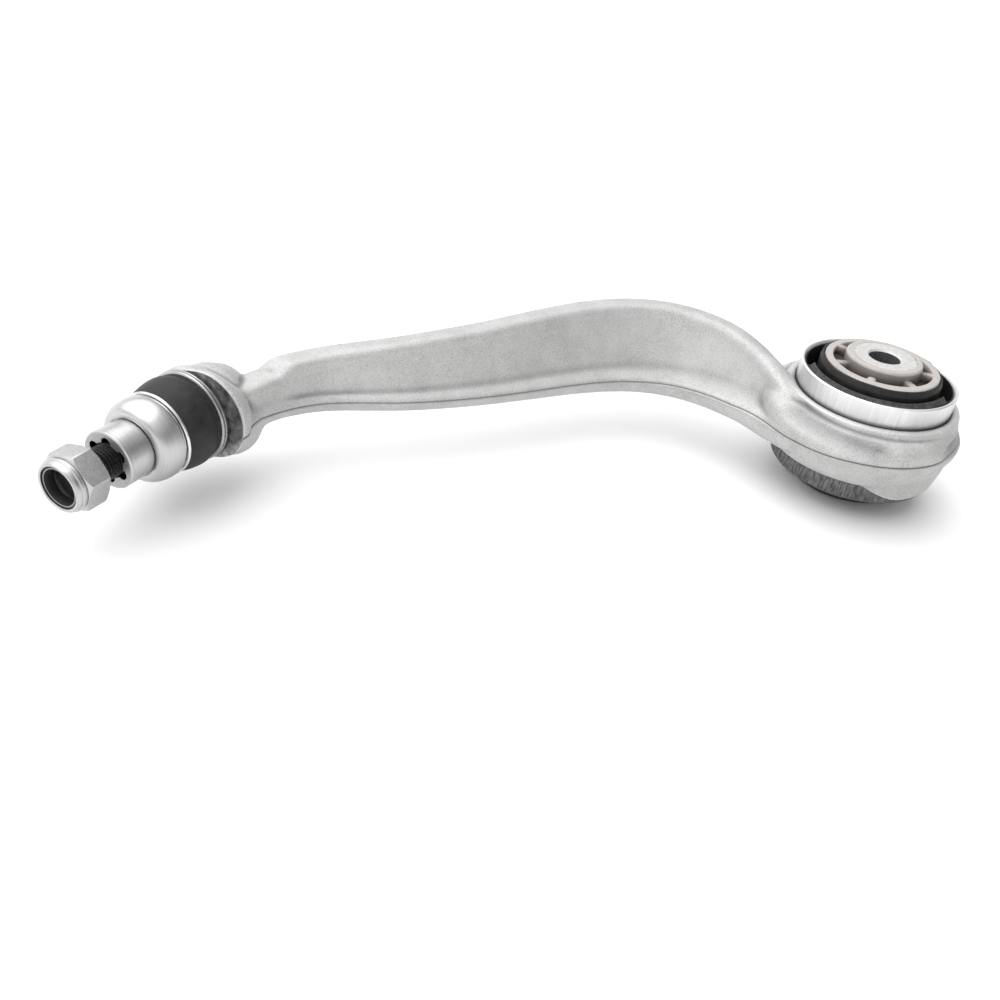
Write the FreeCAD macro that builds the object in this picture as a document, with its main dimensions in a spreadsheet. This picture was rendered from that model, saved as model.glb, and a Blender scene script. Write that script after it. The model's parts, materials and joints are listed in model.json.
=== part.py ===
import FreeCAD, Part
import math
import os
import re
import Sketcher

# Suspension control arm: a bowed aluminium forging with a fluid-filled bush at one end and a
# ball joint with its spacer and lock nut at the other.
#
# Row frame, millimetres: origin at the middle of the bush bore, +Z up along the bush axis,
# -X towards the ball joint. The pin of the ball joint lies in the plane Z = 0.
# Every piece of the ball joint is drawn upright on its own Z axis, with the ball's centre at
# its origin, and its Placement then leans that axis along the pin.

doc = FreeCAD.newDocument("ControlArm")
sheet = doc.addObject("Spreadsheet::Sheet", "Dims")

DIMENSIONS = {
    # ball joint: place and direction
    "ball_x": -304,
    "ball_y": -3.2,
    "pin_angle": 54.1,
    # bush
    "bore_radius": 7.25,
    "core_radius": 15,
    "core_half_length": 34,
    "sleeve_radius": 36,
    "sleeve_wall": 2,
    "sleeve_top": 26,
    "sleeve_bottom": -23,
    "sleeve_foot_radius": 38.4,
    "sleeve_foot_top": -12.6,
    "edge_break": 0.6,
    "channel_wall": 2.4,
    "channel_slot_half": 4,
    "shell_angle": 176,
    "channel_half_length": 15,
    "rubber_half_length": 19.5,
    "cage_hub_radius": 17.4,
    "cage_hub_top": 33.4,
    "cage_base": 25.4,
    "cage_ring_inner": 22.6,
    "cage_ring_radius": 26.3,
    "cage_ring_top": 30.6,
    "cage_rib_width": 2.2,
    "cage_rib_count": 7,
    "cage_rib_turn": 24.4,
    "chamber_half_height": 11.5,
    "chamber_inner": 21.5,
    "chamber_angle": 112,
    "stop_radius": 18.5,
    "stop_half_height": 9.5,
    "stop_pad_width": 19,
    "stop_pad_reach": 25.5,
    # eye of the forging round the bush
    "eye_top": 16,
    "eye_bottom": -12.6,
    "eye_lip_radius": 40,
    "eye_belt_radius": 47,
    "eye_belt_x": -2.6,
    "eye_belt_y": -1,
    "eye_foot_radius": 40.2,
    # housing of the ball joint
    "housing_radius": 20.6,
    "housing_face": 9.6,
    "housing_floor": -14.4,
    "housing_back": -17.6,
    "socket_radius": 15.4,
    "socket_floor_radius": 10,
    "mouth_radius": 17.2,
    "mouth_depth": 6.4,
    # inside the ball joint
    "ball_radius": 12.5,
    "ball_gap": 0.04,
    "seat_top": 6.4,
    "seat_bottom": -12.8,
    "closing_inner": 11.8,
    "boot_seat_inner": 16.4,
    "boot_seat_radius": 19.3,
    "boot_seat_top": 13.2,
    # boot
    "boot_bulge_radius": 18.6,
    "boot_neck_radius": 17,
    "boot_top": 29.4,
    "boot_wall": 2,
    "tip_ring_top": 31.2,
    "tip_ring_radius": 17,
    # ball stud
    "neck_radius": 6.7,
    "collar_radius": 10.2,
    "shank_radius": 7.2,
    "thread_radius": 7,
    "thread_pitch": 1.5,
    "thread_depth": 0.85,
    "thread_start": 45,
    "stud_end": 73.6,
    # spacer sleeve
    "bell_rim": 31.8,
    "bell_radius": 17.4,
    "bell_shoulder": 42.8,
    "spacer_radius": 10.9,
    "spacer_end": 55.4,
    "star_radius": 9.9,
    "star_lobe_radius": 2.3,
    "star_lobe_count": 6,
    "star_depth": 7,
    # lock nut
    "nut_back": 65,
    "nut_flats": 22,
    "nut_hex_top": 74.4,
    "nut_end": 79.7,
    "nut_collar_radius": 11,
    "nut_turned": -18,
    "insert_radius": 8.9,
    "insert_bottom": 74.6,
    "insert_top": 78.9,
    "running_gap": 0.06,
}

# Stations of the arm, from the ball joint to the eye. Each gives its lower near edge (x, y, z),
# the direction the arm runs in there (heading, degrees from +X), and its section: how far it
# rises above and drops below the forging's parting line, how far its top leans away from that
# edge, how wide its lower flange is, and how thick its web is.
STATION_FIELDS = ("x", "y", "z", "heading", "rise", "drop", "lean", "flange", "web")
STATIONS = [
    (-293, -15.6, -3.2, 38, 16.0, 5.2, 1.6, 1.8, 16),
    (-276, -5.2, -3.6, 36, 18.8, 4.4, 3.4, 2.4, 15),
    (-260, 4.6, -4.2, 20, 20.6, 4.2, 5.2, 3.0, 13.5),
    (-231, 8.8, -4.8, 7, 24.6, 4.2, 8.4, 4.0, 12.5),
    (-197, 14.2, -5.0, 11, 28.0, 4.5, 11.6, 5.2, 12),
    (-156, 26.0, -5.0, 18, 31.4, 5.0, 14.4, 6.2, 12),
    (-122, 36.6, -5.0, 9, 34.0, 5.8, 16.4, 7.0, 12),
    (-98, 38.6, -5.0, -7, 34.8, 6.2, 17.0, 7.6, 12),
    (-76, 30.4, -4.4, -33, 32.4, 6.8, 16.0, 8.6, 12),
    (-61, 15.6, -3.6, -54, 26.0, 7.6, 12.6, 9.0, 11.5),
    (-51, -5.0, -2.2, -68, 16.6, 8.2, 8.2, 7.2, 9.5),
    (-45.4, -20.0, -1.0, -60, 14.0, 7.0, 5.6, 3.2, 9),
]


def fill_sheet():
    """Write the driving dimensions to the sheet, one cell and one alias each."""
    cells = dict(DIMENSIONS)
    for number, station in enumerate(STATIONS, 1):
        for field, size in zip(STATION_FIELDS, station):
            cells["station%02d_%s" % (number, field)] = size
    for row, (alias, size) in enumerate(cells.items(), 1):
        sheet.set("A%d" % row, alias)
        sheet.set("B%d" % row, str(size))
        sheet.setAlias("B%d" % row, alias)
    doc.recompute()


def value(expression):
    """The number that an expression on the sheet has now."""
    result = sheet.evalExpression(expression)
    return float(getattr(result, "Value", result))


def on_sheet(expression):
    """An expression for another object: each alias in it gets the sheet's name."""
    return re.sub(r"[a-z][a-z0-9_]*_[a-z_]+", r"Dims.\g<0>", expression)


# ---------------------------------------------------------------- sketches and features

def new_body(label):
    body = doc.addObject("PartDesign::Body", label)
    body.Label = label
    return body


def lean_on_pin(body):
    """Place a body drawn upright so that its axis is the pin's and its origin the ball's centre."""
    upright = FreeCAD.Rotation(FreeCAD.Vector(0, 1, 0), -90)
    turn = FreeCAD.Rotation(FreeCAD.Vector(0, 0, 1), value("pin_angle"))
    centre = FreeCAD.Vector(value("ball_x"), value("ball_y"), 0)
    body.Placement = FreeCAD.Placement(centre, turn * upright)
    body.setExpression("Placement.Base.x", "Dims.ball_x")
    body.setExpression("Placement.Base.y", "Dims.ball_y")


def plane_of(body, role):
    return next(item for item in body.Origin.OriginFeatures if item.Role == role)


def sketch_on(body, role, name):
    sketch = body.newObject("Sketcher::SketchObject", name)
    sketch.AttachmentSupport = (plane_of(body, role), "")
    sketch.MapMode = "FlatFace"
    return sketch


def bound(sketch, kind, name, expression, *where):
    """Add a constraint whose size follows the sheet."""
    index = sketch.addConstraint(Sketcher.Constraint(kind, *where, value(expression)))
    sketch.renameConstraint(index, name)
    sketch.setExpression("Constraints." + name, on_sheet(expression))


def unit(start, end):
    run = end - start
    return run / run.Length


def draw_outline(sketch, corners):
    """A closed outline. Each corner is (across, up) or (across, up, radius), in expressions."""
    spots = [FreeCAD.Vector(value(corner[0]), value(corner[1]), 0) for corner in corners]
    radii = [value(corner[2]) if len(corner) > 2 else 0 for corner in corners]
    count = len(corners)
    arrive, leave = [], []
    for index, spot in enumerate(spots):
        before = unit(spot, spots[index - 1])
        after = unit(spot, spots[(index + 1) % count])
        setback = radii[index] / math.tan(before.getAngle(after) / 2) if radii[index] else 0
        arrive.append(spot + before * setback)
        leave.append(spot + after * setback)
    lines = []
    for index in range(count):
        start, end = leave[index], arrive[(index + 1) % count]
        if (end - start).dot(spots[(index + 1) % count] - spots[index]) <= 0:
            raise RuntimeError("corners %d and %d of %s overlap" % (index, index + 1, sketch.Name))
        side = Part.LineSegment(start, end)
        lines.append(sketch.addGeometry(side, False))
    for index, spot in enumerate(spots):
        line_in, line_out = lines[index - 1], lines[index]
        name = "corner%d" % index
        if radii[index]:
            add_round_corner(sketch, name, corners[index], spot, radii[index],
                             (line_in, arrive[index]), (line_out, leave[index]))
        else:
            sketch.addConstraint(Sketcher.Constraint("Coincident", line_in, 2, line_out, 1))
            bound(sketch, "DistanceX", name + "_x", corners[index][0], -1, 1, line_out, 1)
            bound(sketch, "DistanceY", name + "_y", corners[index][1], -1, 1, line_out, 1)


def add_round_corner(sketch, name, corner, spot, radius, side_in, side_out):
    """An arc tangent to both sides, with the sharp corner kept as a bound point."""
    line_in, start = side_in
    line_out, end = side_out
    bisector = unit(spot, (start + end) * 0.5)
    half = unit(spot, start).getAngle(bisector)
    centre = spot + bisector * (radius / math.sin(half))
    turn = (spot - start).cross(end - spot).z
    first, last = (start, end) if turn > 0 else (end, start)
    circle = Part.Circle(centre, FreeCAD.Vector(0, 0, 1), radius)
    arc = Part.ArcOfCircle(circle, math.atan2(*reversed((first - centre)[:2])),
                           math.atan2(*reversed((last - centre)[:2])))
    arc_id = sketch.addGeometry(arc, False)
    start_end, end_end = (1, 2) if turn > 0 else (2, 1)
    sketch.addConstraint(Sketcher.Constraint("Tangent", line_in, 2, arc_id, start_end))
    sketch.addConstraint(Sketcher.Constraint("Tangent", line_out, 1, arc_id, end_end))
    point = sketch.addGeometry(Part.Point(spot), True)
    sketch.addConstraint(Sketcher.Constraint("PointOnObject", point, 1, line_in))
    sketch.addConstraint(Sketcher.Constraint("PointOnObject", point, 1, line_out))
    bound(sketch, "DistanceX", name + "_x", corner[0], -1, 1, point, 1)
    bound(sketch, "DistanceY", name + "_y", corner[1], -1, 1, point, 1)
    bound(sketch, "Radius", name + "_r", corner[2], arc_id)


def draw_circle(sketch, name, across, up, radius):
    circle = Part.Circle(FreeCAD.Vector(value(across), value(up), 0),
                         FreeCAD.Vector(0, 0, 1), value(radius))
    index = sketch.addGeometry(circle, False)
    bound(sketch, "DistanceX", name + "_x", across, -1, 1, index, 3)
    bound(sketch, "DistanceY", name + "_y", up, -1, 1, index, 3)
    bound(sketch, "Radius", name + "_r", radius, index)


def turned(body, kind, name, corners):
    """A Revolution or Groove of an outline (radius, height) about the body's Z axis."""
    sketch = sketch_on(body, "XZ_Plane", name + "_profile")
    draw_outline(sketch, corners)
    feature = body.newObject("PartDesign::" + kind, name)
    feature.Profile = sketch
    feature.ReferenceAxis = (sketch, ["V_Axis"])
    feature.Angle = 360
    doc.recompute()
    return feature


def cut_check(body, feature, before):
    """A cut that points away from the solid removes nothing and shows no error, so look."""
    doc.recompute()
    if body.Shape.Volume > before - 1:
        raise RuntimeError("%s cut nothing from %s" % (feature.Label, body.Label))


def turned_piece(label, corners):
    body = new_body(label)
    turned(body, "Revolution", label + "_turned", corners)
    return body


def groove(body, name, corners):
    before = body.Shape.Volume
    cut_check(body, turned(body, "Groove", name, corners), before)


def through_pocket(body, sketch, name):
    """Cut a sketch through the whole body, both ways."""
    before = body.Shape.Volume
    pocket = body.newObject("PartDesign::Pocket", name)
    pocket.Profile = sketch
    pocket.Type = "ThroughAll"
    pocket.SideType = "Symmetric"
    cut_check(body, pocket, before)


def pad(body, sketch, name, length):
    feature = body.newObject("PartDesign::Pad", name)
    feature.Profile = sketch
    feature.Length = value(length)
    feature.setExpression("Length", on_sheet(length))
    doc.recompute()
    return feature


def polar(body, feature, name, count):
    """Repeat a feature round the body's Z axis."""
    pattern = body.newObject("PartDesign::PolarPattern", name)
    pattern.Originals = [feature]
    pattern.Axis = (plane_of(body, "Z_Axis"), [""])
    pattern.Angle = 360
    pattern.Occurrences = count
    body.Tip = pattern
    doc.recompute()
    return pattern


# ---------------------------------------------------------------- bush

def bush_outer_sleeve():
    """Sleeve with a thick foot, which stops against the underside of the eye."""
    inner = "sleeve_radius-sleeve_wall"
    return turned_piece("bush_outer_sleeve", [
        (inner, "sleeve_bottom+edge_break"), (inner + "+edge_break", "sleeve_bottom"),
        ("sleeve_foot_radius-1.2", "sleeve_bottom"), ("sleeve_foot_radius", "sleeve_bottom+1.2"),
        ("sleeve_foot_radius", "sleeve_foot_top"), ("sleeve_radius", "sleeve_foot_top"),
        ("sleeve_radius", "sleeve_top-edge_break"), ("sleeve_radius-edge_break", "sleeve_top"),
        (inner + "+edge_break", "sleeve_top"), (inner, "sleeve_top-edge_break")])


def bush_inner_sleeve():
    """Thick sleeve that the bolt goes through, with broken edges."""
    end = "core_half_length"
    return turned_piece("bush_inner_sleeve", [
        ("bore_radius", "edge_break-" + end), ("bore_radius+edge_break", "-" + end),
        ("core_radius-edge_break", "-" + end), ("core_radius", "edge_break-" + end),
        ("core_radius", end + "-edge_break"), ("core_radius-edge_break", end),
        ("bore_radius+edge_break", end), ("bore_radius", end + "-edge_break")])


def bush_rubber():
    """Spring rubber: two membranes and two walls, which leave a fluid chamber on each side."""
    outer = "sleeve_radius-sleeve_wall"
    ring = outer + "-channel_wall"
    body = turned_piece("bush_rubber", [
        ("core_radius", "-cage_base+0.3"), ("cage_ring_radius-1.2", "-cage_base+0.3"),
        ("cage_ring_radius+2.4", "-cage_base+2.6"), ("cage_ring_radius+3", "-rubber_half_length"),
        (outer, "-rubber_half_length-0.6"), (outer, "-channel_half_length"),
        (ring, "-channel_half_length"), (ring, "channel_half_length"),
        (outer, "channel_half_length"), (outer, "rubber_half_length+0.6"),
        ("cage_ring_radius+3", "rubber_half_length"), ("cage_ring_radius+2.4", "cage_base-2.6"),
        ("cage_ring_radius-1.2", "cage_base-0.3"), ("core_radius", "cage_base-0.3"),
        ("core_radius", "stop_half_height"), ("stop_radius", "stop_half_height"),
        ("stop_radius", "-stop_half_height"), ("core_radius", "-stop_half_height")])
    sketch = sketch_on(body, "XZ_Plane", "chamber_profile")
    draw_outline(sketch, [
        ("stop_radius-0.5", "-chamber_half_height+2.5"), ("chamber_inner", "-chamber_half_height"),
        (ring + "+0.5", "-chamber_half_height+1"), (ring + "+0.5", "chamber_half_height-1"),
        ("chamber_inner", "chamber_half_height"), ("stop_radius-0.5", "chamber_half_height-2.5")])
    before = body.Shape.Volume
    chamber = body.newObject("PartDesign::Groove", "chamber")
    chamber.Profile = sketch
    chamber.ReferenceAxis = (sketch, ["V_Axis"])
    chamber.Angle = value("chamber_angle")
    chamber.setExpression("Angle", "Dims.chamber_angle")
    chamber.Midplane = True
    cut_check(body, chamber, before)
    polar(body, chamber, "chambers", 2)
    return body


def channel_shell(label, side):
    """Half of the ring that carries the damping channel, on one side of the bush."""
    outer = "sleeve_radius-sleeve_wall"
    body = new_body(label)
    sketch = sketch_on(body, "XZ_Plane", "shell_profile")
    groove_floor = outer + "-channel_wall/2"
    draw_outline(sketch, [
        (outer + "-channel_wall", "-channel_half_length"), (outer, "-channel_half_length"),
        (outer, "-channel_slot_half"), (groove_floor, "-channel_slot_half"),
        (groove_floor, "channel_slot_half"), (outer, "channel_slot_half"),
        (outer, "channel_half_length"), (outer + "-channel_wall", "channel_half_length")])
    half = body.newObject("PartDesign::Revolution", "shell")
    half.Profile = sketch
    half.ReferenceAxis = (sketch, ["V_Axis"])
    half.Angle = value("shell_angle")
    half.setExpression("Angle", "Dims.shell_angle")
    half.Midplane = True
    body.Placement.Rotation = FreeCAD.Rotation(FreeCAD.Vector(0, 0, 1), 0 if side > 0 else 180)
    doc.recompute()
    return body


def radial_stop():
    """Plastic stop on the inner sleeve, with a pad in each fluid chamber."""
    body = turned_piece("radial_stop", [
        ("core_radius", "-stop_half_height"), ("stop_radius", "-stop_half_height"),
        ("stop_radius", "stop_half_height"), ("core_radius", "stop_half_height")])
    sketch = sketch_on(body, "XY_Plane", "pad_outline")
    draw_outline(sketch, [
        ("core_radius+1", "-stop_pad_width/2"), ("stop_pad_reach", "-stop_pad_width/2", "2"),
        ("stop_pad_reach", "stop_pad_width/2", "2"), ("core_radius+1", "stop_pad_width/2")])
    block = pad(body, sketch, "stop_pad", "stop_half_height*1.6")
    block.SideType = "Symmetric"
    doc.recompute()
    polar(body, block, "stop_pads", 2)
    return body


def cage(label, upside_down):
    """Plastic guide: a hub on the inner sleeve, a ring over the rubber and the ribs between."""
    body = turned_piece(label, [
        ("core_radius", "cage_base"), ("cage_ring_radius-0.8", "cage_base"),
        ("cage_ring_radius", "cage_base+1.2"), ("cage_ring_radius", "cage_ring_top-0.4"),
        ("cage_ring_radius-0.4", "cage_ring_top"), ("cage_ring_inner", "cage_ring_top"),
        ("cage_ring_inner", "cage_base+1.4"), ("cage_hub_radius", "cage_base+1.4"),
        ("cage_hub_radius", "cage_hub_top"), ("core_radius", "cage_hub_top")])
    sketch = sketch_on(body, "XY_Plane", "rib_outline")
    draw_outline(sketch, [
        ("cage_hub_radius-0.5", "-cage_rib_width/2"), ("cage_ring_inner+0.5", "-cage_rib_width/2"),
        ("cage_ring_inner+0.5", "cage_rib_width/2"), ("cage_hub_radius-0.5", "cage_rib_width/2")])
    turn = FreeCAD.Rotation(FreeCAD.Vector(0, 0, 1), value("cage_rib_turn"))
    sketch.AttachmentOffset = FreeCAD.Placement(FreeCAD.Vector(0, 0, value("cage_base+1")), turn)
    sketch.setExpression("AttachmentOffset.Base.z", "Dims.cage_base+1")
    sketch.setExpression("AttachmentOffset.Rotation.Angle", "Dims.cage_rib_turn")
    rib = pad(body, sketch, "rib", "cage_ring_top-cage_base-1.4")
    polar(body, rib, "ribs", int(value("cage_rib_count")))
    if upside_down:
        body.Placement.Rotation = FreeCAD.Rotation(FreeCAD.Vector(1, 0, 0), 180)
    return body


# ---------------------------------------------------------------- arm forging

def add_housing(body):
    """Barrel of the ball joint: its axis is the pin's, in the plane Z = 0."""
    sketch = sketch_on(body, "XY_Plane", "housing_profile")
    draw_outline(sketch, [
        ("0", "housing_back"), ("housing_radius*0.56", "housing_back", "5"),
        ("housing_radius-2", "housing_back+11", "8"), ("housing_radius", "housing_face-5", "6"),
        ("housing_radius", "housing_face-1"), ("housing_radius-1", "housing_face"),
        ("0", "housing_face")])
    lay_along_pin(sketch)
    barrel = body.newObject("PartDesign::Revolution", "housing")
    barrel.Profile = sketch
    barrel.ReferenceAxis = (sketch, ["V_Axis"])
    barrel.Angle = 360
    doc.recompute()


def add_belt(body):
    """Belt of the eye, thicker on the side that the arm runs into, so its axis is off centre."""
    sketch = sketch_on(body, "XZ_Plane", "belt_profile")
    draw_outline(sketch, [
        ("sleeve_radius-2", "eye_bottom"), ("eye_foot_radius", "eye_bottom", "3"),
        ("eye_belt_radius-1.8", "-2", "3"), ("eye_belt_radius", "2.4", "3"),
        ("eye_belt_radius", "9", "3.4"), ("eye_lip_radius+2.4", "eye_top-3.4"),
        ("sleeve_radius-2", "eye_top-3")])
    sketch.AttachmentOffset.Base.x = value("eye_belt_x")
    sketch.AttachmentOffset.Base.z = -value("eye_belt_y")
    sketch.setExpression("AttachmentOffset.Base.x", "Dims.eye_belt_x")
    sketch.setExpression("AttachmentOffset.Base.z", "-Dims.eye_belt_y")
    belt = body.newObject("PartDesign::Revolution", "belt")
    belt.Profile = sketch
    belt.ReferenceAxis = (sketch, ["V_Axis"])
    belt.Angle = 360
    doc.recompute()


def lay_along_pin(sketch):
    """Put a sketch of the plane Z = 0 at the ball's centre with its vertical along the pin."""
    turn = FreeCAD.Rotation(FreeCAD.Vector(0, 0, 1), 90 + value("pin_angle"))
    centre = FreeCAD.Vector(value("ball_x"), value("ball_y"), 0)
    sketch.AttachmentOffset = FreeCAD.Placement(centre, turn)
    sketch.setExpression("AttachmentOffset.Base.x", "Dims.ball_x")
    sketch.setExpression("AttachmentOffset.Base.y", "Dims.ball_y")
    sketch.setExpression("AttachmentOffset.Rotation.Angle", "90+Dims.pin_angle")


def station_sketch(body, number):
    """The arm's section at a station, upright and square to the way the arm runs there."""
    tag = "station%02d_" % number
    sketch = sketch_on(body, "XZ_Plane", "section%02d" % number)
    draw_outline(sketch, [
        ("0.8", "-" + tag + "drop", "2.5"),
        (tag + "flange+" + tag + "web", "-" + tag + "drop", "3.5"),
        (tag + "lean+" + tag + "web+0.6", tag + "rise", "min(4.6;" + tag + "web*0.37)"),
        (tag + "lean-0.8", tag + "rise-0.4", "min(4.2;" + tag + "web*0.35)"),
        (tag + "flange*0.16+" + tag + "lean*0.84", tag + "rise-6.4", "2.5"),
        (tag + "flange", "3.2+" + tag + "flange*0.3", tag + "flange*0.8"),
        ("0.6", "2.6", "1.6"),
        ("0", "0.3")])
    base = FreeCAD.Vector(value(tag + "x"), value(tag + "z"), -value(tag + "y"))
    turn = FreeCAD.Rotation(FreeCAD.Vector(0, 1, 0), value(tag + "heading") + 90)
    sketch.AttachmentOffset = FreeCAD.Placement(base, turn)
    sketch.setExpression("AttachmentOffset.Base.x", on_sheet(tag + "x"))
    sketch.setExpression("AttachmentOffset.Base.y", on_sheet(tag + "z"))
    sketch.setExpression("AttachmentOffset.Base.z", "-" + on_sheet(tag + "y"))
    sketch.setExpression("AttachmentOffset.Rotation.Angle", on_sheet(tag + "heading") + "+90")
    doc.recompute()
    return sketch


def add_arm(body):
    sections = [station_sketch(body, number) for number in range(1, len(STATIONS) + 1)]
    loft = body.newObject("PartDesign::AdditiveLoft", "arm")
    loft.Profile = sections[0]
    loft.Sections = sections[1:]
    loft.Ruled = False
    doc.recompute()


def arm_forging():
    """The eye, its belt, the housing and the arm in one, bored for the bush and the ball."""
    body = turned_piece("arm_forging", [
        ("sleeve_radius-4", "eye_bottom"), ("eye_foot_radius", "eye_bottom", "2"),
        ("eye_lip_radius+2", "0"), ("eye_lip_radius+1.6", "eye_top-5"),
        ("eye_lip_radius", "eye_top", "1.6"), ("sleeve_radius-4", "eye_top")])
    add_belt(body)
    add_housing(body)
    add_arm(body)
    bore = sketch_on(body, "XY_Plane", "bush_seat_outline")
    draw_circle(bore, "seat", "0", "0", "sleeve_radius")
    through_pocket(body, bore, "bush_seat")
    before = body.Shape.Volume
    socket = sketch_on(body, "XY_Plane", "socket_profile")
    draw_outline(socket, [
        ("0", "housing_floor"), ("socket_floor_radius", "housing_floor"),
        ("socket_radius", "-5"), ("socket_radius", "mouth_depth"), ("mouth_radius", "mouth_depth"),
        ("mouth_radius", "housing_face+1"), ("0", "housing_face+1")])
    lay_along_pin(socket)
    cavity = body.newObject("PartDesign::Groove", "socket")
    cavity.Profile = socket
    cavity.ReferenceAxis = (socket, ["V_Axis"])
    cavity.Angle = 360
    cut_check(body, cavity, before)
    return body


# ---------------------------------------------------------------- ball joint

def ball_seat():
    """Plastic cup that wraps the ball past its middle."""
    body = turned_piece("ball_seat", [
        ("0", "seat_bottom-0.8"), ("socket_floor_radius", "seat_bottom-0.8"),
        ("socket_radius", "-5"), ("socket_radius", "seat_top"), ("0", "seat_top")])
    ball = body.newObject("PartDesign::SubtractiveSphere", "ball_pocket")
    ball.Radius = value("ball_radius+ball_gap")
    ball.setExpression("Radius", "Dims.ball_radius+Dims.ball_gap")
    doc.recompute()
    groove(body, "seat_throat", [
        ("0", "2"), ("ball_radius-2.6", "2"), ("ball_radius-1", "seat_top+0.5"),
        ("0", "seat_top+0.5")])
    lean_on_pin(body)
    return body


def seat_spring():
    """Dished disc under the seat that keeps it pressed on the ball."""
    body = turned_piece("seat_spring", [
        ("4", "housing_floor"), ("socket_floor_radius-0.6", "housing_floor"),
        ("socket_floor_radius-0.6", "seat_bottom-0.8"), ("4", "seat_bottom-0.8")])
    lean_on_pin(body)
    return body


def closing_ring():
    """Steel ring that holds the seat in the housing."""
    body = turned_piece("closing_ring", [
        ("closing_inner", "mouth_depth"), ("mouth_radius", "mouth_depth"),
        ("mouth_radius", "housing_face"), ("closing_inner+2.4", "housing_face")])
    lean_on_pin(body)
    return body


def boot_seat_ring():
    """Bright ring on the housing's face that the boot's foot is clamped in."""
    body = turned_piece("boot_seat_ring", [
        ("boot_seat_inner+0.6", "housing_face"), ("boot_seat_radius-0.6", "housing_face"),
        ("boot_seat_radius", "housing_face+0.8"), ("boot_seat_radius", "boot_seat_top-1"),
        ("boot_seat_radius-1", "boot_seat_top"), ("boot_seat_inner+0.6", "boot_seat_top")])
    lean_on_pin(body)
    return body


def dust_boot():
    """Rubber boot, as one closed ring of rubber from the housing to the tip ring."""
    foot = "boot_seat_top"
    body = turned_piece("dust_boot", [
        ("boot_seat_inner-1.4", foot), ("boot_seat_inner+1.6", foot, "0.5"),
        ("boot_bulge_radius", foot + "+2.4", "1.5"), ("boot_bulge_radius", foot + "+9", "6"),
        ("boot_neck_radius", "boot_top", "1"), ("spacer_radius", "boot_top"),
        ("spacer_radius", "boot_top-boot_wall"),
        ("boot_neck_radius-boot_wall-1", "boot_top-boot_wall-1", "1.5"),
        ("boot_bulge_radius-boot_wall", foot + "+7", "4"),
        ("boot_seat_inner-1.4", foot + "+2.4", "1")])
    lean_on_pin(body)
    return body


def boot_tip_ring():
    """Steel ring at the boot's small end, which the spacer's bell slides on."""
    body = turned_piece("boot_tip_ring", [
        ("spacer_radius", "boot_top"), ("tip_ring_radius-0.4", "boot_top"),
        ("tip_ring_radius", "boot_top+0.4"), ("tip_ring_radius", "tip_ring_top-0.4"),
        ("tip_ring_radius-0.4", "tip_ring_top"), ("spacer_radius", "tip_ring_top")])
    lean_on_pin(body)
    return body


def ball_stud():
    """Ball, neck, collar and threaded shank in one piece of steel."""
    body = new_body("ball_stud")
    ball = body.newObject("PartDesign::AdditiveSphere", "ball")
    ball.Radius = value("ball_radius")
    ball.setExpression("Radius", "Dims.ball_radius")
    doc.recompute()
    turned(body, "Revolution", "shank", [
        ("0", "0"), ("neck_radius", "0"), ("neck_radius", "ball_radius+6", "5"),
        ("collar_radius", "boot_top-5", "4"), ("collar_radius", "bell_rim+2.2"),
        ("shank_radius", "bell_rim+2.2"), ("shank_radius", "thread_start-1"),
        ("thread_radius", "thread_start"), ("thread_radius", "stud_end-1.2"),
        ("thread_radius-1.2", "stud_end"), ("0", "stud_end")])
    cut_thread(body)
    lean_on_pin(body)
    return body


def cut_thread(body):
    """Cut the helical groove of the thread into the shank."""
    before = body.Shape.Volume
    sketch = sketch_on(body, "XZ_Plane", "thread_profile")
    draw_outline(sketch, [
        ("thread_radius-thread_depth", "thread_start-0.1"),
        ("thread_radius+0.3", "thread_start-thread_pitch*0.55"),
        ("thread_radius+0.3", "thread_start+thread_pitch*0.42")])
    thread = body.newObject("PartDesign::SubtractiveHelix", "thread")
    thread.Profile = sketch
    thread.ReferenceAxis = (sketch, ["V_Axis"])
    thread.Mode = 0
    thread.Pitch = value("thread_pitch")
    thread.Height = value("stud_end-thread_start+3")
    thread.setExpression("Pitch", "Dims.thread_pitch")
    thread.setExpression("Height", "Dims.stud_end-Dims.thread_start+3")
    cut_check(body, thread, before)


def spacer_sleeve():
    """Bright turned sleeve: a bell over the boot's tip and a neck with a star-shaped bore."""
    rim = "bell_rim"
    body = turned_piece("spacer_sleeve", [
        ("shank_radius+running_gap", rim + "+2.2"), ("collar_radius+0.3", rim + "+2.2"),
        ("collar_radius+0.3", rim), ("bell_radius-0.6", rim), ("bell_radius", rim + "+0.6"),
        ("bell_radius", rim + "+6", "4"), ("bell_radius-3", rim + "+10.2", "3"),
        ("spacer_radius+0.5", "bell_shoulder+0.6"), ("spacer_radius", "bell_shoulder+1"),
        ("spacer_radius", "spacer_end-1.6"), ("spacer_radius+0.5", "spacer_end-1.3"),
        ("spacer_radius+0.5", "spacer_end-0.4"), ("spacer_radius+0.1", "spacer_end"),
        ("shank_radius+running_gap", "spacer_end")])
    sketch = sketch_on(body, "XY_Plane", "star_lobe_outline")
    draw_circle(sketch, "lobe", "star_radius-star_lobe_radius", "0", "star_lobe_radius")
    sketch.AttachmentOffset.Base.z = value("spacer_end")
    sketch.setExpression("AttachmentOffset.Base.z", "Dims.spacer_end")
    before = body.Shape.Volume
    lobe = body.newObject("PartDesign::Pocket", "star_lobe")
    lobe.Profile = sketch
    lobe.Type = "Length"
    lobe.Length = value("star_depth")
    lobe.setExpression("Length", "Dims.star_depth")
    cut_check(body, lobe, before)
    polar(body, lobe, "star_lobes", int(value("star_lobe_count")))
    lean_on_pin(body)
    return body


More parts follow.
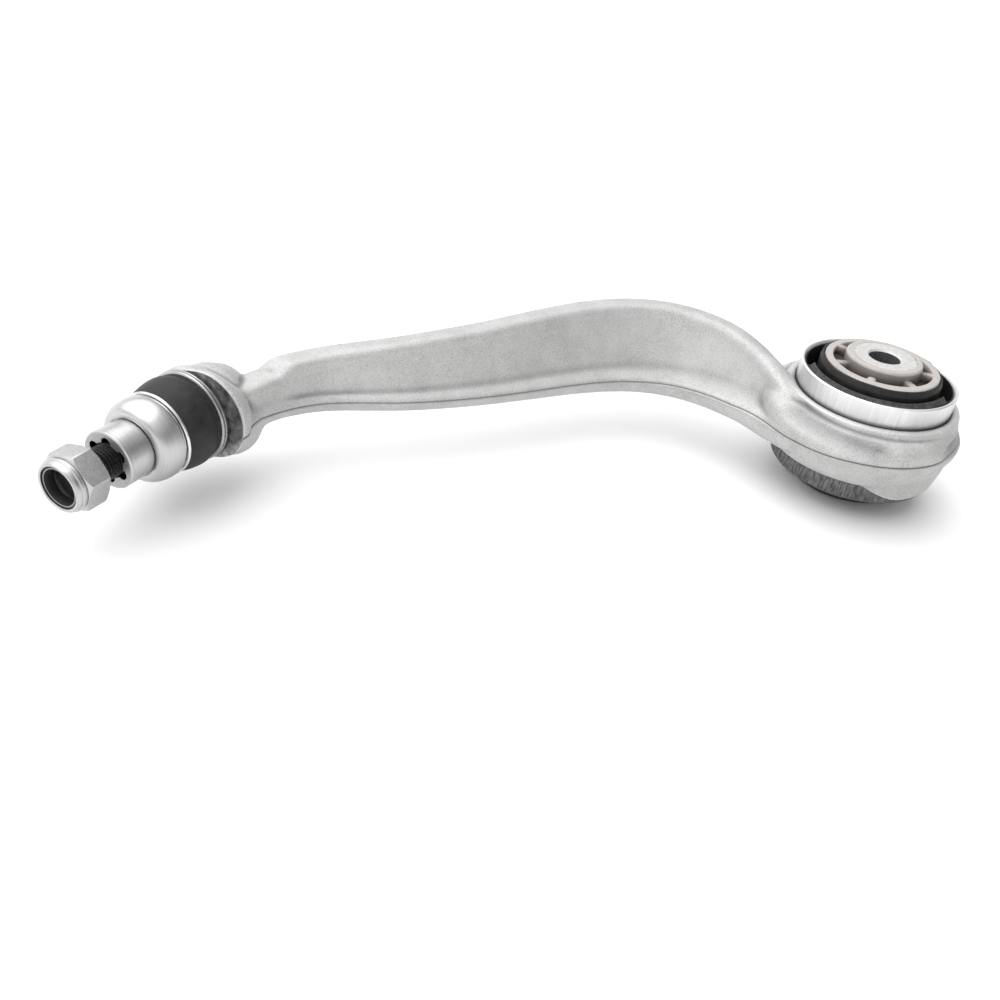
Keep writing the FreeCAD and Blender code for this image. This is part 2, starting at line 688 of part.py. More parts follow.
def lock_nut():
    """Hexagon nut with a crimped collar that holds its plastic insert."""
    body = new_body("lock_nut")
    sketch = sketch_on(body, "XY_Plane", "hexagon")
    flat = "nut_flats/2"
    draw_outline(sketch, [
        ("%s/cos(30)*cos(nut_turned+%d)" % (flat, 60 * side),
         "%s/cos(30)*sin(nut_turned+%d)" % (flat, 60 * side)) for side in range(6)])
    sketch.AttachmentOffset.Base.z = value("nut_back")
    sketch.setExpression("AttachmentOffset.Base.z", "Dims.nut_back")
    pad(body, sketch, "hexagon_prism", "nut_end-nut_back")
    corner = "nut_flats/2/cos(30)"
    groove(body, "back_chamfer", [
        ("nut_flats/2-0.3", "nut_back-1"), (corner + "+2", "nut_back-1"),
        (corner + "+2", "nut_back+1.7"), ("nut_flats/2-0.3", "nut_back-0.1")])
    groove(body, "collar_turning", [
        ("nut_collar_radius", "nut_hex_top+0.9"), (corner + "+2", "nut_hex_top-1"),
        (corner + "+2", "nut_end+1"), ("nut_collar_radius-1.4", "nut_end+1"),
        ("nut_collar_radius-1.4", "nut_end-0.1"), ("nut_collar_radius-0.4", "nut_end-0.9"),
        ("nut_collar_radius", "nut_end-2.2")])
    groove(body, "nut_bore", [
        ("0", "nut_back-1"), ("thread_radius+1.2", "nut_back-1"),
        ("thread_radius+running_gap", "nut_back+1"), ("thread_radius+running_gap", "insert_bottom"),
        ("insert_radius", "insert_bottom"), ("insert_radius", "insert_top"),
        ("insert_radius-0.4", "insert_top+0.1"), ("insert_radius-0.4", "nut_end+1"),
        ("0", "nut_end+1")])
    lean_on_pin(body)
    return body


def nut_insert():
    """Plastic ring that grips the thread."""
    body = turned_piece("nut_insert", [
        ("thread_radius+running_gap", "insert_bottom"),
        ("insert_radius-running_gap", "insert_bottom"), ("insert_radius-running_gap", "insert_top"),
        ("thread_radius+running_gap+0.4", "insert_top"),
        ("thread_radius+running_gap", "insert_top-0.5")])
    lean_on_pin(body)
    return body


# ---------------------------------------------------------------- build and write

fill_sheet()
PIECES = [
    arm_forging(), bush_outer_sleeve(), bush_rubber(), channel_shell("channel_shell_right", 1),
    channel_shell("channel_shell_left", -1), bush_inner_sleeve(), radial_stop(),
    cage("cage_upper", False), cage("cage_lower", True), ball_seat(), seat_spring(),
    closing_ring(), boot_seat_ring(), dust_boot(), boot_tip_ring(), ball_stud(),
    spacer_sleeve(), lock_nut(), nut_insert()]
doc.recompute()

for item in doc.Objects:
    if "Invalid" in item.State or "Error" in item.State:
        raise RuntimeError("%s failed: %s" % (item.Label, item.State))

os.makedirs("parts", exist_ok=True)
for piece in PIECES:
    shape = piece.Shape
    if shape.isNull() or not shape.isValid() or len(shape.Solids) != 1:
        raise RuntimeError("%s has no single valid solid" % piece.Label)
    shape.exportStep("parts/%s.step" % piece.Label)
    print("%-20s %9.1f mm3" % (piece.Label, shape.Volume))
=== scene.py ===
import json
import math

import bmesh
import bpy
import numpy as np
from mathutils import Matrix, Vector


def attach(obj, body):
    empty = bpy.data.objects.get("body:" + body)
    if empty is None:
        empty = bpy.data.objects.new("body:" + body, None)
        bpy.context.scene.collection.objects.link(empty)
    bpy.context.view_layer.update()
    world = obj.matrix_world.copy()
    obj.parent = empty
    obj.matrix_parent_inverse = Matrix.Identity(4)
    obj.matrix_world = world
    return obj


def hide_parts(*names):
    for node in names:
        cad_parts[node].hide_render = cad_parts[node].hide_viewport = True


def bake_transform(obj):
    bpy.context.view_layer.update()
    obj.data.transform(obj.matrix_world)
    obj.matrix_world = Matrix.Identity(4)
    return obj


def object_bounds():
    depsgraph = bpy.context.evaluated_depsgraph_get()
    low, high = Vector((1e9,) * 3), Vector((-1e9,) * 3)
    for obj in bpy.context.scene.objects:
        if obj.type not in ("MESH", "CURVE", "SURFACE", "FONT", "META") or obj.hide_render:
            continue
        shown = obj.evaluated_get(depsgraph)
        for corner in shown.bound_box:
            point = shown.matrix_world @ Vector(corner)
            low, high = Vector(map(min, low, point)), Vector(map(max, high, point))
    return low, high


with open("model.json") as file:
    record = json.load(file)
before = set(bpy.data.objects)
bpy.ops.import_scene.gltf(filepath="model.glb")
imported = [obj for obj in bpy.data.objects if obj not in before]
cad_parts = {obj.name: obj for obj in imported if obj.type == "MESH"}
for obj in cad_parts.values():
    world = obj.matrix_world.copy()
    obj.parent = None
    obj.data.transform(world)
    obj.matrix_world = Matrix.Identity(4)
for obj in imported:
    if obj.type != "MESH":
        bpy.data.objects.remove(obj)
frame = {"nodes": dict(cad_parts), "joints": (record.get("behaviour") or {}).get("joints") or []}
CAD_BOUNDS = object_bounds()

# Looks of the suspension control arm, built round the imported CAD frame.
# Outlines of turned pieces are (radius, height) or (radius, height, corner radius) in millimetres,
# and everything that reaches Blender is in metres, in the row frame.

MM = 0.001
JOINTS = {joint["name"]: joint for joint in frame["joints"]}
PIN_CENTRE = Vector(JOINTS["pin_spin"]["pos_m"])
PIN_AXIS = Vector(JOINTS["pin_spin"]["axis"]).normalized()
UP = Vector((0, 0, 1))


def axes_at(centre, across, along):
    """A placement with local X along across, local Z along along and its origin at centre."""
    place = Matrix((across, along.cross(across), along)).transposed().to_4x4()
    place.translation = centre
    return place


ON_PIN = axes_at(PIN_CENTRE, UP, PIN_AXIS)
ON_BUSH = Matrix.Identity(4)


def read_all(items, field, width=3, kind=float):
    """A field of all the items, one row for each."""
    values = np.zeros(len(items) * width, kind)
    items.foreach_get(field, values)
    return values.reshape(-1, width)


def node_points(node, place=ON_BUSH):
    """A CAD node's points in a placement's own axes, in millimetres."""
    back = np.array(place.inverted())
    points = read_all(frame["nodes"][node].data.vertices, "co")
    return (points @ back[:3, :3].T + back[:3, 3]) / MM


def add_object(name, data, place=ON_BUSH):
    """A new object in the scene."""
    made = bpy.data.objects.new(name, data)
    bpy.context.scene.collection.objects.link(made)
    made.matrix_world = place
    return made


def radii_of(points):
    """The points' distances from the local Z axis."""
    return np.hypot(points[:, 0], points[:, 1])


def along_pin(points):
    """The points' heights along the pin from the ball's centre, in millimetres."""
    return (points - np.array(PIN_CENTRE) / MM) @ np.array(PIN_AXIS)


class Span:
    """The heights and radii between which a CAD node lies round an axis, in millimetres."""

    def __init__(self, node, place=ON_PIN):
        points = node_points(node, place)
        radii = radii_of(points)
        self.low, self.high = float(points[:, 2].min()), float(points[:, 2].max())
        self.inner, self.outer = float(radii.min()), float(radii.max())


# -------------------- finishes

def set_stops(ramp, stops):
    """Fill a ramp node with (position, grey or colour) stops."""
    elements = ramp.color_ramp.elements
    while len(elements) < len(stops):
        elements.new(0.5)
    for element, (position, shade) in zip(elements, stops):
        element.position = position
        element.color = (*shade, 1) if isinstance(shade, tuple) else (shade, shade, shade, 1)


# Turned finishes: the circle they are laid out on, how long their lines are, and the lines' relief.
SPUN_RADIUS, ALONG_LINES, TURNED_RELIEF = 20, 150, 0.004


def set_all(target, settings):
    """Set each named setting of a node, modifier or light."""
    for name, value in settings.items():
        setattr(target, name, value)


FINISHES = {}


class Finish:
    """A procedural material in FINISHES, built node by node round one Principled shader."""

    def __init__(self, name, **shader_inputs):
        FINISHES[name] = bpy.data.materials.new(name)
        FINISHES[name].use_nodes = True
        self.tree = FINISHES[name].node_tree
        self.shader = self.tree.nodes["Principled BSDF"]
        self.place = self.node("TexCoord").outputs["Object"]
        for socket_name, value in shader_inputs.items():
            self.give(socket_name.replace("_", " "), value)

    def node(self, kind, inputs=None, **settings):
        """A node of a kind, with its inputs by name or index and its settings."""
        made = self.tree.nodes.new("ShaderNode" + kind)
        set_all(made, settings)
        for key, value in (inputs or {}).items():
            self.feed(made.inputs[key], value)
        return made

    def feed(self, socket, value):
        """Link a socket to another, or set its value."""
        if isinstance(value, bpy.types.NodeSocket):
            self.tree.links.new(value, socket)
        else:
            socket.default_value = value

    def give(self, name, value):
        self.feed(self.shader.inputs[name], value)

    def coat(self, colour, roughness=None, normal=None):
        """Give the shader its colour, roughness and normal."""
        for name, value in (("Base Color", colour), ("Roughness", roughness), ("Normal", normal)):
            if value is not None:
                self.give(name, value)

    def times(self, first, second):
        return self.node("Math", {0: first, 1: second}, operation="MULTIPLY").outputs[0]

    def noise(self, size, detail=3.0, stretch=(1, 1, 1), place=None, rough=0.55):
        """Noise whose blotches are about size millimetres across, times the stretch along an axis."""
        scale = tuple(1 / (size * MM * s) for s in stretch)
        spot = self.node("Mapping", {"Vector": place or self.place, "Scale": scale}).outputs[0]
        return self.node("TexNoise", {"Vector": spot, "Scale": 1.0, "Detail": detail,
                                      "Roughness": rough}).outputs[0]

    def ramp(self, factor, *stops):
        """A ramp through (position, grey or colour) stops."""
        made = self.node("ValToRGB", {"Fac": factor})
        set_stops(made, stops)
        return made.outputs[0]

    def mix(self, factor, first, second):
        """The first colour, with the second over it where the factor is one."""
        made = self.node("Mix", data_type="RGBA")
        for index, value in ((0, factor), (6, first), (7, second)):
            self.feed(made.inputs[index], value)
        return made.outputs[2]

    def bump(self, height, depth, normal=None):
        """Relief of so many millimetres, on top of another normal."""
        inputs = {"Height": height, "Distance": depth * MM, "Strength": 1.0}
        if normal is not None:
            inputs["Normal"] = normal
        return self.node("Bump", inputs).outputs[0]

    def attribute(self, name):
        """A value that the mesh carries at its points."""
        return self.node("Attribute", attribute_name=name).outputs["Fac"]

    def spun(self):
        """Places on a turned surface without their radius: the heading on one circle, and the height."""
        parts = self.node("SeparateXYZ", {0: self.place})
        flat = self.node("CombineXYZ", {0: parts.outputs[0], 1: parts.outputs[1]}).outputs[0]
        ring = self.node("VectorMath", {0: flat}, operation="NORMALIZE").outputs[0]
        ring = self.node("VectorMath", {0: ring, 3: SPUN_RADIUS * MM}, operation="SCALE").outputs[0]
        lift = self.node("CombineXYZ", {2: parts.outputs[2]}).outputs[0]
        return self.node("VectorMath", {0: ring, 1: lift}, operation="ADD").outputs[0]


def rgb(shade, warmth=0.0):
    """A grey with a little warmth."""
    return (shade * (1 + warmth), shade, shade * (1 - warmth), 1)


def forged_aluminium():
    """Shot-blasted forging: matte grain, soft blotches, a painted highlight on convex edges, painted
    shade in hollows and creases, and a painted shadow line above the seam.
    """
    look = Finish("forged_aluminium", Metallic=0.5)
    grain = look.noise(0.5, detail=5, rough=0.75)
    blotch = look.noise(9, detail=5)
    cloud = look.noise(38)
    base = look.ramp(blotch, (0.25, (0.42, 0.42, 0.415)), (0.75, (0.57, 0.57, 0.565)))
    base = look.mix(look.ramp(grain, (0.34, 0.85), (0.49, 0.0)), base, rgb(0.20))
    base = look.mix(look.ramp(grain, (0.52, 0.0), (0.68, 0.55)), base, rgb(0.72))
    base = look.mix(look.ramp(cloud, (0.4, 0.0), (0.7, 0.3)), base, rgb(0.56))
    # Painted shade: darker in the hollows, the creases and the crevice beside the sleeve.
    base = look.mix(look.attribute("hollow_painted_shade"), base, rgb(0.10))
    # Painted highlight: lighter on the convex edges.
    base = look.mix(look.attribute("wear_and_painted_highlight"), base, rgb(0.80))
    # Painted shadow: a thin dark line along the step above the seam.
    base = look.mix(look.attribute("seam_painted_shadow"), base, rgb(0.04))
    normal = look.bump(look.noise(3.2), 0.06)
    normal = look.bump(look.noise(1.0), 0.06, normal)
    look.coat(base, look.ramp(blotch, (0.2, 0.52), (0.8, 0.64)), look.bump(grain, 0.07, normal))


def machined_aluminium():
    """Milled face of the forging: dark, brushed and smeared."""
    look = Finish("machined_aluminium", Metallic=1.0)
    smear = look.noise(5, detail=6, rough=0.65)
    fine = look.noise(0.5, detail=4)
    colour = look.ramp(smear, (0.35, 0.14), (0.68, 0.52))
    colour = look.mix(look.ramp(fine, (0.5, 0.0), (0.75, 0.5)), colour, rgb(0.05))
    look.coat(colour, look.ramp(smear, (0.3, 0.32), (0.7, 0.5)),
              look.bump(smear, 0.12, look.bump(fine, 0.03)))


def turned_metal(name, base, rough, streak=0.1, line=0.12, dull=0.0):
    """Turned bright metal: fine lines round the piece, and dull patches where it has been handled."""
    look = Finish(name, Metallic=1.0)
    lines = look.noise(line, detail=2, stretch=(ALONG_LINES, ALONG_LINES, 1), place=look.spun())
    patches = look.noise(11)
    specks = look.noise(0.7, detail=4)
    colour = look.ramp(lines, (0.3, base * (1 - streak)), (0.7, min(1, base * (1 + streak))))
    colour = look.mix(look.ramp(patches, (0.45, 0.0), (0.8, 0.15 + dull)), colour, rgb(base * 0.75))
    colour = look.mix(look.ramp(specks, (0.6, 0.0), (0.8, 0.25)), colour, rgb(base * 0.6))
    roughness = look.ramp(patches, (0.3, rough), (0.8, rough * 1.35))
    look.coat(colour, roughness, look.bump(lines, TURNED_RELIEF))


def sleeve_aluminium():
    """Drawn sleeve: satin, with upright streaks and scuffs, painted shade down towards the forging's lip
    and a painted highlight on the rim.
    """
    look = Finish("sleeve_aluminium", Metallic=0.95)
    spun = look.spun()
    streaks = look.noise(0.8, detail=4, stretch=(1, 1, 24), place=spun)
    wide = look.noise(13, detail=4, stretch=(1, 1, 5), place=spun)
    colour = look.ramp(streaks, (0.32, 0.55), (0.68, 0.66))
    colour = look.mix(look.ramp(wide, (0.38, 0.0), (0.66, 0.7)), colour, rgb(0.34))
    colour = look.mix(look.attribute("shaded"), colour, rgb(0.10))
    # Painted highlight on the rim.
    colour = look.mix(look.attribute("wear_and_painted_highlight"), colour, rgb(0.95))
    look.coat(colour, look.ramp(wide, (0.3, 0.3), (0.7, 0.44)),
              look.bump(streaks, 0.01, look.bump(look.noise(0.5), 0.01)))


def core_aluminium():
    """End of the inner sleeve: pale, cold pressed, with a few scratches."""
    look = Finish("core_aluminium", Metallic=0.25)
    marks = look.noise(1.6, detail=5)
    colour = look.ramp(marks, (0.3, (0.46, 0.455, 0.45)), (0.55, (0.60, 0.595, 0.59)))
    look.coat(colour, look.ramp(marks, (0.3, 0.5), (0.7, 0.4)), look.bump(marks, 0.04))


def rubber(name, shade, sheen, worn=0.25):
    """Moulded rubber with a dusty bloom and greyish wear."""
    look = Finish(name, Specular_IOR_Level=0.3)
    dust = look.noise(5, detail=5)
    fine = look.noise(0.6)
    wear = look.ramp(look.noise(2.6, detail=6, rough=0.7), (0.38, 0.15), (0.66, 0.95))
    colour = look.ramp(dust, (0.35, shade), (0.8, shade + 0.02))
    colour = look.mix(look.ramp(fine, (0.62, 0.0), (0.8, worn)), colour, rgb(0.08, 0.04))
    colour = look.mix(look.times(look.attribute("wear_and_painted_highlight"), wear), colour, rgb(0.075, 0.05))
    look.coat(colour, look.ramp(dust, (0.3, sheen), (0.8, sheen + 0.16)),
              look.bump(fine, 0.02, look.bump(dust, 0.05)))


def cage_plastic():
    """Glass-filled moulding: pale beige, with painted shade darkening the walls in its pockets."""
    look = Finish("cage_plastic")
    speck = look.noise(0.9, detail=4)
    cloud = look.noise(7)
    colour = look.ramp(speck, (0.3, (0.38, 0.353, 0.334)), (0.7, (0.48, 0.457, 0.438)))
    colour = look.mix(look.ramp(cloud, (0.45, 0.0), (0.75, 0.3)), colour, (0.33, 0.30, 0.281, 1))
    # Painted shade: pocket walls and the hub's wall darker towards the pocket floor.
    colour = look.mix(look.attribute("deep"), colour, (0.052, 0.040, 0.034, 1))
    look.coat(colour, look.ramp(speck, (0.3, 0.48), (0.7, 0.62)), look.bump(speck, 0.03))


def plain_plastic(name, colour, rough):
    """Moulded plastic with soft clouds in its colour."""
    look = Finish(name)
    cloud = look.noise(6)
    darker = tuple(0.75 * c for c in colour)
    look.coat(look.ramp(cloud, (0.3, darker), (0.7, colour)),
              look.ramp(cloud, (0.3, rough), (0.7, rough + 0.1)),
              look.bump(look.noise(0.8), 0.02))


def stud_steel():
    """Phosphated steel: near black, with grey rubbed crests."""
    look = Finish("stud_steel", Metallic=0.6)
    grain = look.noise(0.7, detail=4)
    look.coat(look.ramp(grain, (0.35, 0.01), (0.75, 0.045)),
              look.ramp(grain, (0.3, 0.3), (0.7, 0.5)), look.bump(grain, 0.015))


def nut_zinc():
    """Zinc-plated nut: mottled satin on the flats."""
    look = Finish("nut_zinc", Metallic=0.9)
    grain = look.noise(0.4, detail=5, rough=0.7)
    blotch = look.noise(2.2, detail=4)
    flats = look.ramp(grain, (0.35, 0.28), (0.65, 0.58))
    colour = look.mix(look.ramp(blotch, (0.42, 0.0), (0.7, 0.45)), flats, rgb(0.50))
    look.coat(colour, look.ramp(blotch, (0.3, 0.4), (0.7, 0.52)),
              look.bump(grain, 0.03, look.bump(blotch, 0.03)))


def matte_face():
    """Faced end of the spacer: pale, dull and slightly speckled."""
    look = Finish("spacer_face", Metallic=0.9, Roughness=0.5)
    speck = look.noise(0.6, detail=4)
    look.coat(look.ramp(speck, (0.3, 0.36), (0.7, 0.50)), normal=look.bump(speck, 0.015))


def dark_metal(name, low, high, rough):
    """Dark metal with upright marks, used as painted shade inside the core's bore and for the sleeve's
    dark serrated foot.
    """
    look = Finish(name, Metallic=0.9, Roughness=rough)
    marks = look.noise(0.9, detail=4, stretch=(1, 1, 4))
    look.coat(look.ramp(marks, (0.35, low), (0.7, high)), normal=look.bump(marks, 0.03))


matte_face()
# Painted shade inside the core's bore.
dark_metal("dark_bore_painted_shade", 0.13, 0.22, 0.75)
dark_metal("serrated_band", 0.07, 0.22, 0.42)
turned_metal("nut_turned", 0.52, 0.28, streak=0.14, line=0.3, dull=0.4)
forged_aluminium()
machined_aluminium()
sleeve_aluminium()
core_aluminium()
rubber("bush_rubber", 0.008, 0.5)
rubber("boot_rubber", 0.010, 0.45, worn=0.06)
cage_plastic()
plain_plastic("channel_plastic", (0.05, 0.05, 0.05), 0.45)
plain_plastic("stop_plastic", (0.55, 0.53, 0.50), 0.5)
plain_plastic("seat_plastic", (0.75, 0.74, 0.70), 0.4)
plain_plastic("insert_plastic", (0.008, 0.008, 0.009), 0.55)
plain_plastic("insert_ring", (0.24, 0.24, 0.25), 0.35)
turned_metal("spring_steel", 0.35, 0.35)
turned_metal("ring_steel", 0.46, 0.24, line=0.25, dull=0.5)
turned_metal("bright_ring", 0.72, 0.12)
turned_metal("spacer_steel", 0.52, 0.29, line=0.2, dull=0.1)
stud_steel()
nut_zinc()


# -------------------- mesh helpers

def finish_piece(piece, slot, body=None, sharp=32):
    """Shade a piece, give it its finish and slot, and let it ride if it is on one body."""
    piece.data.polygons.foreach_set("use_smooth", [True] * len(piece.data.polygons))
    piece.data.set_sharp_from_angle(angle=math.radians(sharp))
    piece.data.materials.clear()
    piece.data.materials.append(FINISHES[slot])
    if body:
        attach(piece, body)


def faces_of(piece):
    """Face centres in millimetres and face normals, in the piece's own axes."""
    faces = piece.data.polygons
    return read_all(faces, "center") / MM, read_all(faces, "normal")


def paint(piece, finish, chosen):
    """Give the chosen faces a finish of their own."""
    piece.data.materials.append(FINISHES[finish])
    indices = read_all(piece.data.polygons, "material_index", 1, np.int32)[:, 0]
    indices[chosen] = len(piece.data.materials) - 1
    piece.data.polygons.foreach_set("material_index", indices)


def new_piece(name, points, faces, place=ON_BUSH):
    """A mesh from points in millimetres in a placement's axes."""
    mesh = bpy.data.meshes.new(name)
    mesh.from_pydata([tuple(p) for p in np.asarray(points) * MM], [], faces)
    mesh.validate()
    return add_object(name, mesh, place)


def prism(name, sides, low, high, place=ON_BUSH):
    """An upright block on a convex outline."""
    count = len(sides)
    points = [(x, y, z) for z in (low, high) for x, y in sides]
    faces = [tuple(range(count - 1, -1, -1)), tuple(range(count, 2 * count))]
    faces += [(k, (k + 1) % count, count + (k + 1) % count, count + k) for k in range(count)]
    return new_piece(name, points, faces, place)


def rounded(outline, steps=5):
    """The outline with each rounded corner as a short arc."""
    points = [np.array(corner[:2], float) for corner in outline]
    result = []
    for index, corner in enumerate(outline):
        if len(corner) < 3:
            result.append(points[index])
            continue
        spot, radius = points[index], corner[2]
        before = points[index - 1] - spot
        after = points[(index + 1) % len(points)] - spot
        reach_before, reach_after = np.linalg.norm(before), np.linalg.norm(after)
        before, after = before / reach_before, after / reach_after
        half = math.acos(np.clip(before @ after, -1, 1)) / 2
        setback = min(radius / math.tan(half), 0.49 * reach_before, 0.49 * reach_after)
        start, end = spot + before * setback, spot + after * setback
        for step in range(steps + 1):
            t = step / steps
            result.append((1 - t) ** 2 * start + 2 * t * (1 - t) * spot + t ** 2 * end)
    return np.array(result)


def lathe(name, outline, place=ON_PIN, turns=192, shape=None):
    """A turned piece of a closed outline. shape may change (radius, height, angle) arrays."""
    profile = rounded(outline)
    count = len(profile)
    angles = np.linspace(0, 2 * math.pi, turns, endpoint=False)
    radius = np.repeat(profile[:, :1], turns, 1)
    height = np.repeat(profile[:, 1:], turns, 1)
    angle = np.repeat(angles[None, :], count, 0)
    if shape:
        radius, height = shape(radius, height, angle)
    points = np.stack([radius * np.cos(angle), radius * np.sin(angle), height], -1).reshape(-1, 3)
    faces = []
    for row in range(count):
        following = (row + 1) % count
        for turn in range(turns):
            next_turn = (turn + 1) % turns
            faces.append((row * turns + turn, row * turns + next_turn,
                          following * turns + next_turn, following * turns + turn))
    piece = new_piece(name, points, faces, place)
    outward(piece)
    return piece


def outward(piece):
    """Point every face of a closed mesh outward."""
    work = bmesh.new()
    work.from_mesh(piece.data)
    bmesh.ops.recalc_face_normals(work, faces=work.faces)
    if work.calc_volume(signed=True) < 0:
        bmesh.ops.reverse_faces(work, faces=work.faces)
    work.to_mesh(piece.data)
    work.free()


def node_copy(node, name):
    """A welded copy of a CAD node's mesh, as a new piece."""
    piece = add_object(name, frame["nodes"][node].data.copy())
    piece.data.materials.clear()
    work = bmesh.new()
    work.from_mesh(piece.data)
    bmesh.ops.remove_doubles(work, verts=work.verts, dist=0.002 * MM)
    work.to_mesh(piece.data)
    work.free()
    return piece


def with_modifier(piece, kind, **settings):
    """Replace the piece's mesh by what a modifier makes of it."""
    modifier = piece.modifiers.new(kind.lower(), kind)
    set_all(modifier, settings)
    shown = piece.evaluated_get(bpy.context.evaluated_depsgraph_get())
    mesh = bpy.data.meshes.new_from_object(shown)
    piece.modifiers.clear()
    piece.data = mesh


def combine(piece, tool, operation):
    """Boolean of a piece and a tool, which is then removed."""
    with_modifier(piece, "BOOLEAN", operation=operation, object=tool, solver="MANIFOLD")
    bpy.data.objects.remove(tool)


def points_of(piece):
    """The piece's points in its own axes, in metres."""
    return read_all(piece.data.vertices, "co")


def move_points(piece, points):
    piece.data.vertices.foreach_set("co", np.asarray(points, np.float32).ravel())
    piece.data.update()


def normals_of(piece):
    """The normals at the piece's points."""
    return read_all(piece.data.vertices, "normal")


def note(piece, name, values):
    """Store a value per point for the material to read."""
    layer = piece.data.attributes.get(name) or piece.data.attributes.new(name, "FLOAT", "POINT")
    layer.data.foreach_set("value", np.asarray(values, np.float32))


def edge_ends(piece):
    """The two points of each edge."""
    return read_all(piece.data.edges, "vertices", 2, np.int64).T


def beside(ends, values):
    """For each point, the mean of its neighbours' values."""
    first, second = ends
    count = len(values)
    shares = np.bincount(first, minlength=count) + np.bincount(second, minlength=count)
    sums = [np.bincount(first, column[second], count) + np.bincount(second, column[first], count)
            for column in values.reshape(count, -1).T]
    return (np.array(sums) / np.maximum(shares, 1)).T.reshape(values.shape)


def relax(piece, weights, rounds):
    """Smooth points towards their neighbours, by a weight each."""
    ends = edge_ends(piece)
    points = points_of(piece)
    for _ in range(rounds):
        points += (beside(ends, points) - points) * weights[:, None]
    move_points(piece, points)


def bulge_of(piece, rounds):
    """How far each point stands out of its neighbours, in millimetres, evened over a few rounds."""
    ends = edge_ends(piece)
    points = points_of(piece) / MM
    bulge = ((points - beside(ends, points)) * normals_of(piece)).sum(1)
    for _ in range(rounds):
        bulge = beside(ends, bulge)
    return bulge


def refine(piece, chosen, cuts):
    """Cut the chosen faces finer."""
    work = bmesh.new()
    work.from_mesh(piece.data)
    work.faces.ensure_lookup_table()
    edges = {edge for index in np.flatnonzero(chosen) for edge in work.faces[index].edges}
    bmesh.ops.subdivide_edges(work, edges=list(edges), cuts=cuts, use_grid_fill=True)
    bmesh.ops.triangulate(work, faces=[face for face in work.faces if len(face.verts) > 4])
    work.to_mesh(piece.data)
    work.free()


def smoothstep(low, high, values):
    """Nought at low, one at high, and an S-curve between them."""
    t = np.clip((values - low) / (high - low), 0, 1)
    return t * t * (3 - 2 * t)


# -------------------- arm forging

EYE = Span("arm_forging", ON_BUSH)
SLEEVE = Span("bush_outer_sleeve", ON_BUSH)
SEAT_RING = Span("boot_seat_ring")


def top_between(node, inner, outer):
    """Height of the highest of a CAD node's points that lie between two radii round the bush."""
    points = node_points(node)
    radii = radii_of(points)
    return float(points[(radii > inner) & (radii < outer), 2].max())


# The top of the sleeve's thick foot, and the lip where the forging meets the sleeve.
FOOT_TOP = top_between("bush_outer_sleeve", SLEEVE.outer - 0.1, math.inf)
EYE_LIP = top_between("arm_forging", 0, EYE.inner + 0.5)

# Height of the forging's parting line at places along X, from the ball joint past the eye.
PARTING = [(-293, -3.2), (-262, -4.2), (-200, -5), (-98, -5), (-61, -3.6), (-46, -0.8), (-26, 1.3),
           (20, 3.4)]


def above_parting(points):
    """Height above the parting line."""
    return points[:, 2] - np.interp(points[:, 0], *zip(*PARTING))


def bell_curve(values, width):
    """One where the values are nought, fading out either side."""
    return np.exp(-(values / width) ** 2)


def headings(points):
    """The points' headings round the bush, in degrees."""
    return np.degrees(np.arctan2(points[:, 1], points[:, 0]))


def heading_window(points, low, high, soft):
    """One between two headings round the bush, in degrees, and nought outside them."""
    heading = headings(points)
    return smoothstep(low - soft, low + soft, heading) * smoothstep(high + soft, high - soft, heading)


def housing_lumps():
    """Forged lumps beside the ball housing, which the facing cut leaves as an uneven flange."""
    flange_place = ON_PIN @ Matrix.Translation(Vector((2.2, -8.0, 0)) * MM)
    back_place = ON_PIN @ Matrix.Translation(Vector((-6.5, -8.5, -3)) * MM)
    flange_radius, back_radius = 19.3, 14.6
    dome = [(back_radius * math.sin(t) + 0.01, -back_radius * math.cos(t))
            for t in np.linspace(0, math.pi, 17)]
    return [
        lathe("flange_lump", [(0.01, -3), (flange_radius - 6, -3, 3), (flange_radius, 4.5, 4),
                              (flange_radius, SEAT_RING.low + 3), (0.01, SEAT_RING.low + 3)],
              flange_place, 96),
        lathe("back_lump", dome, back_place, 96),
    ]


def eye_lobe():
    """Forged lobe that hides the sleeve's foot on one side of the eye."""
    def swept(radius, height, angle):
        heading = (np.degrees(angle) + 180) % 360 - 180
        reach = smoothstep(-150, -128, heading) * smoothstep(120, 90, heading)
        drop = smoothstep(-138, -78, heading) * smoothstep(110, 60, heading)
        return EYE.inner + (radius - EYE.inner) * (0.2 + 0.8 * reach), top + (height - top) * drop

    deep, top = SLEEVE.low + 2.6, -8
    return lathe("eye_lobe", [(EYE.inner, deep), (EYE.inner + 3.6, deep, 1.2), (EYE.inner + 5, -14, 3),
                              (EYE.inner + 6, top - 1), (EYE.inner + 6, top), (EYE.inner, top)],
                 ON_BUSH, 192, swept)


HOUSING_FALL = 0.22
# Least radius of the housing at heights along the pin, so that its wall covers the ball's seat.
SEAT_WALL = [(-17, 0), (-14, 13.5), (-5, 17.4)]


def lower_housing_back(piece):
    """Let the top of the housing fall away behind its face, but keep a wall round the ball's seat."""
    points = points_of(piece) / MM
    back = np.array(ON_PIN.inverted())
    places = points @ back[:3, :3].T + back[:3, 3] / MM
    up, side, height = places.T
    near = smoothstep(34, 26, np.hypot(up, side)) * smoothstep(-30, -22, height)
    fall = HOUSING_FALL * smoothstep(9, -8, height) * smoothstep(2, 12, up) * near
    wall = np.interp(height, *zip(*SEAT_WALL))
    least = np.sqrt(np.maximum(wall ** 2 - side ** 2, 0))
    lowered = np.maximum(up * (1 - fall), np.minimum(least, up))
    points[:, 2] += lowered - up
    move_points(piece, points * MM)


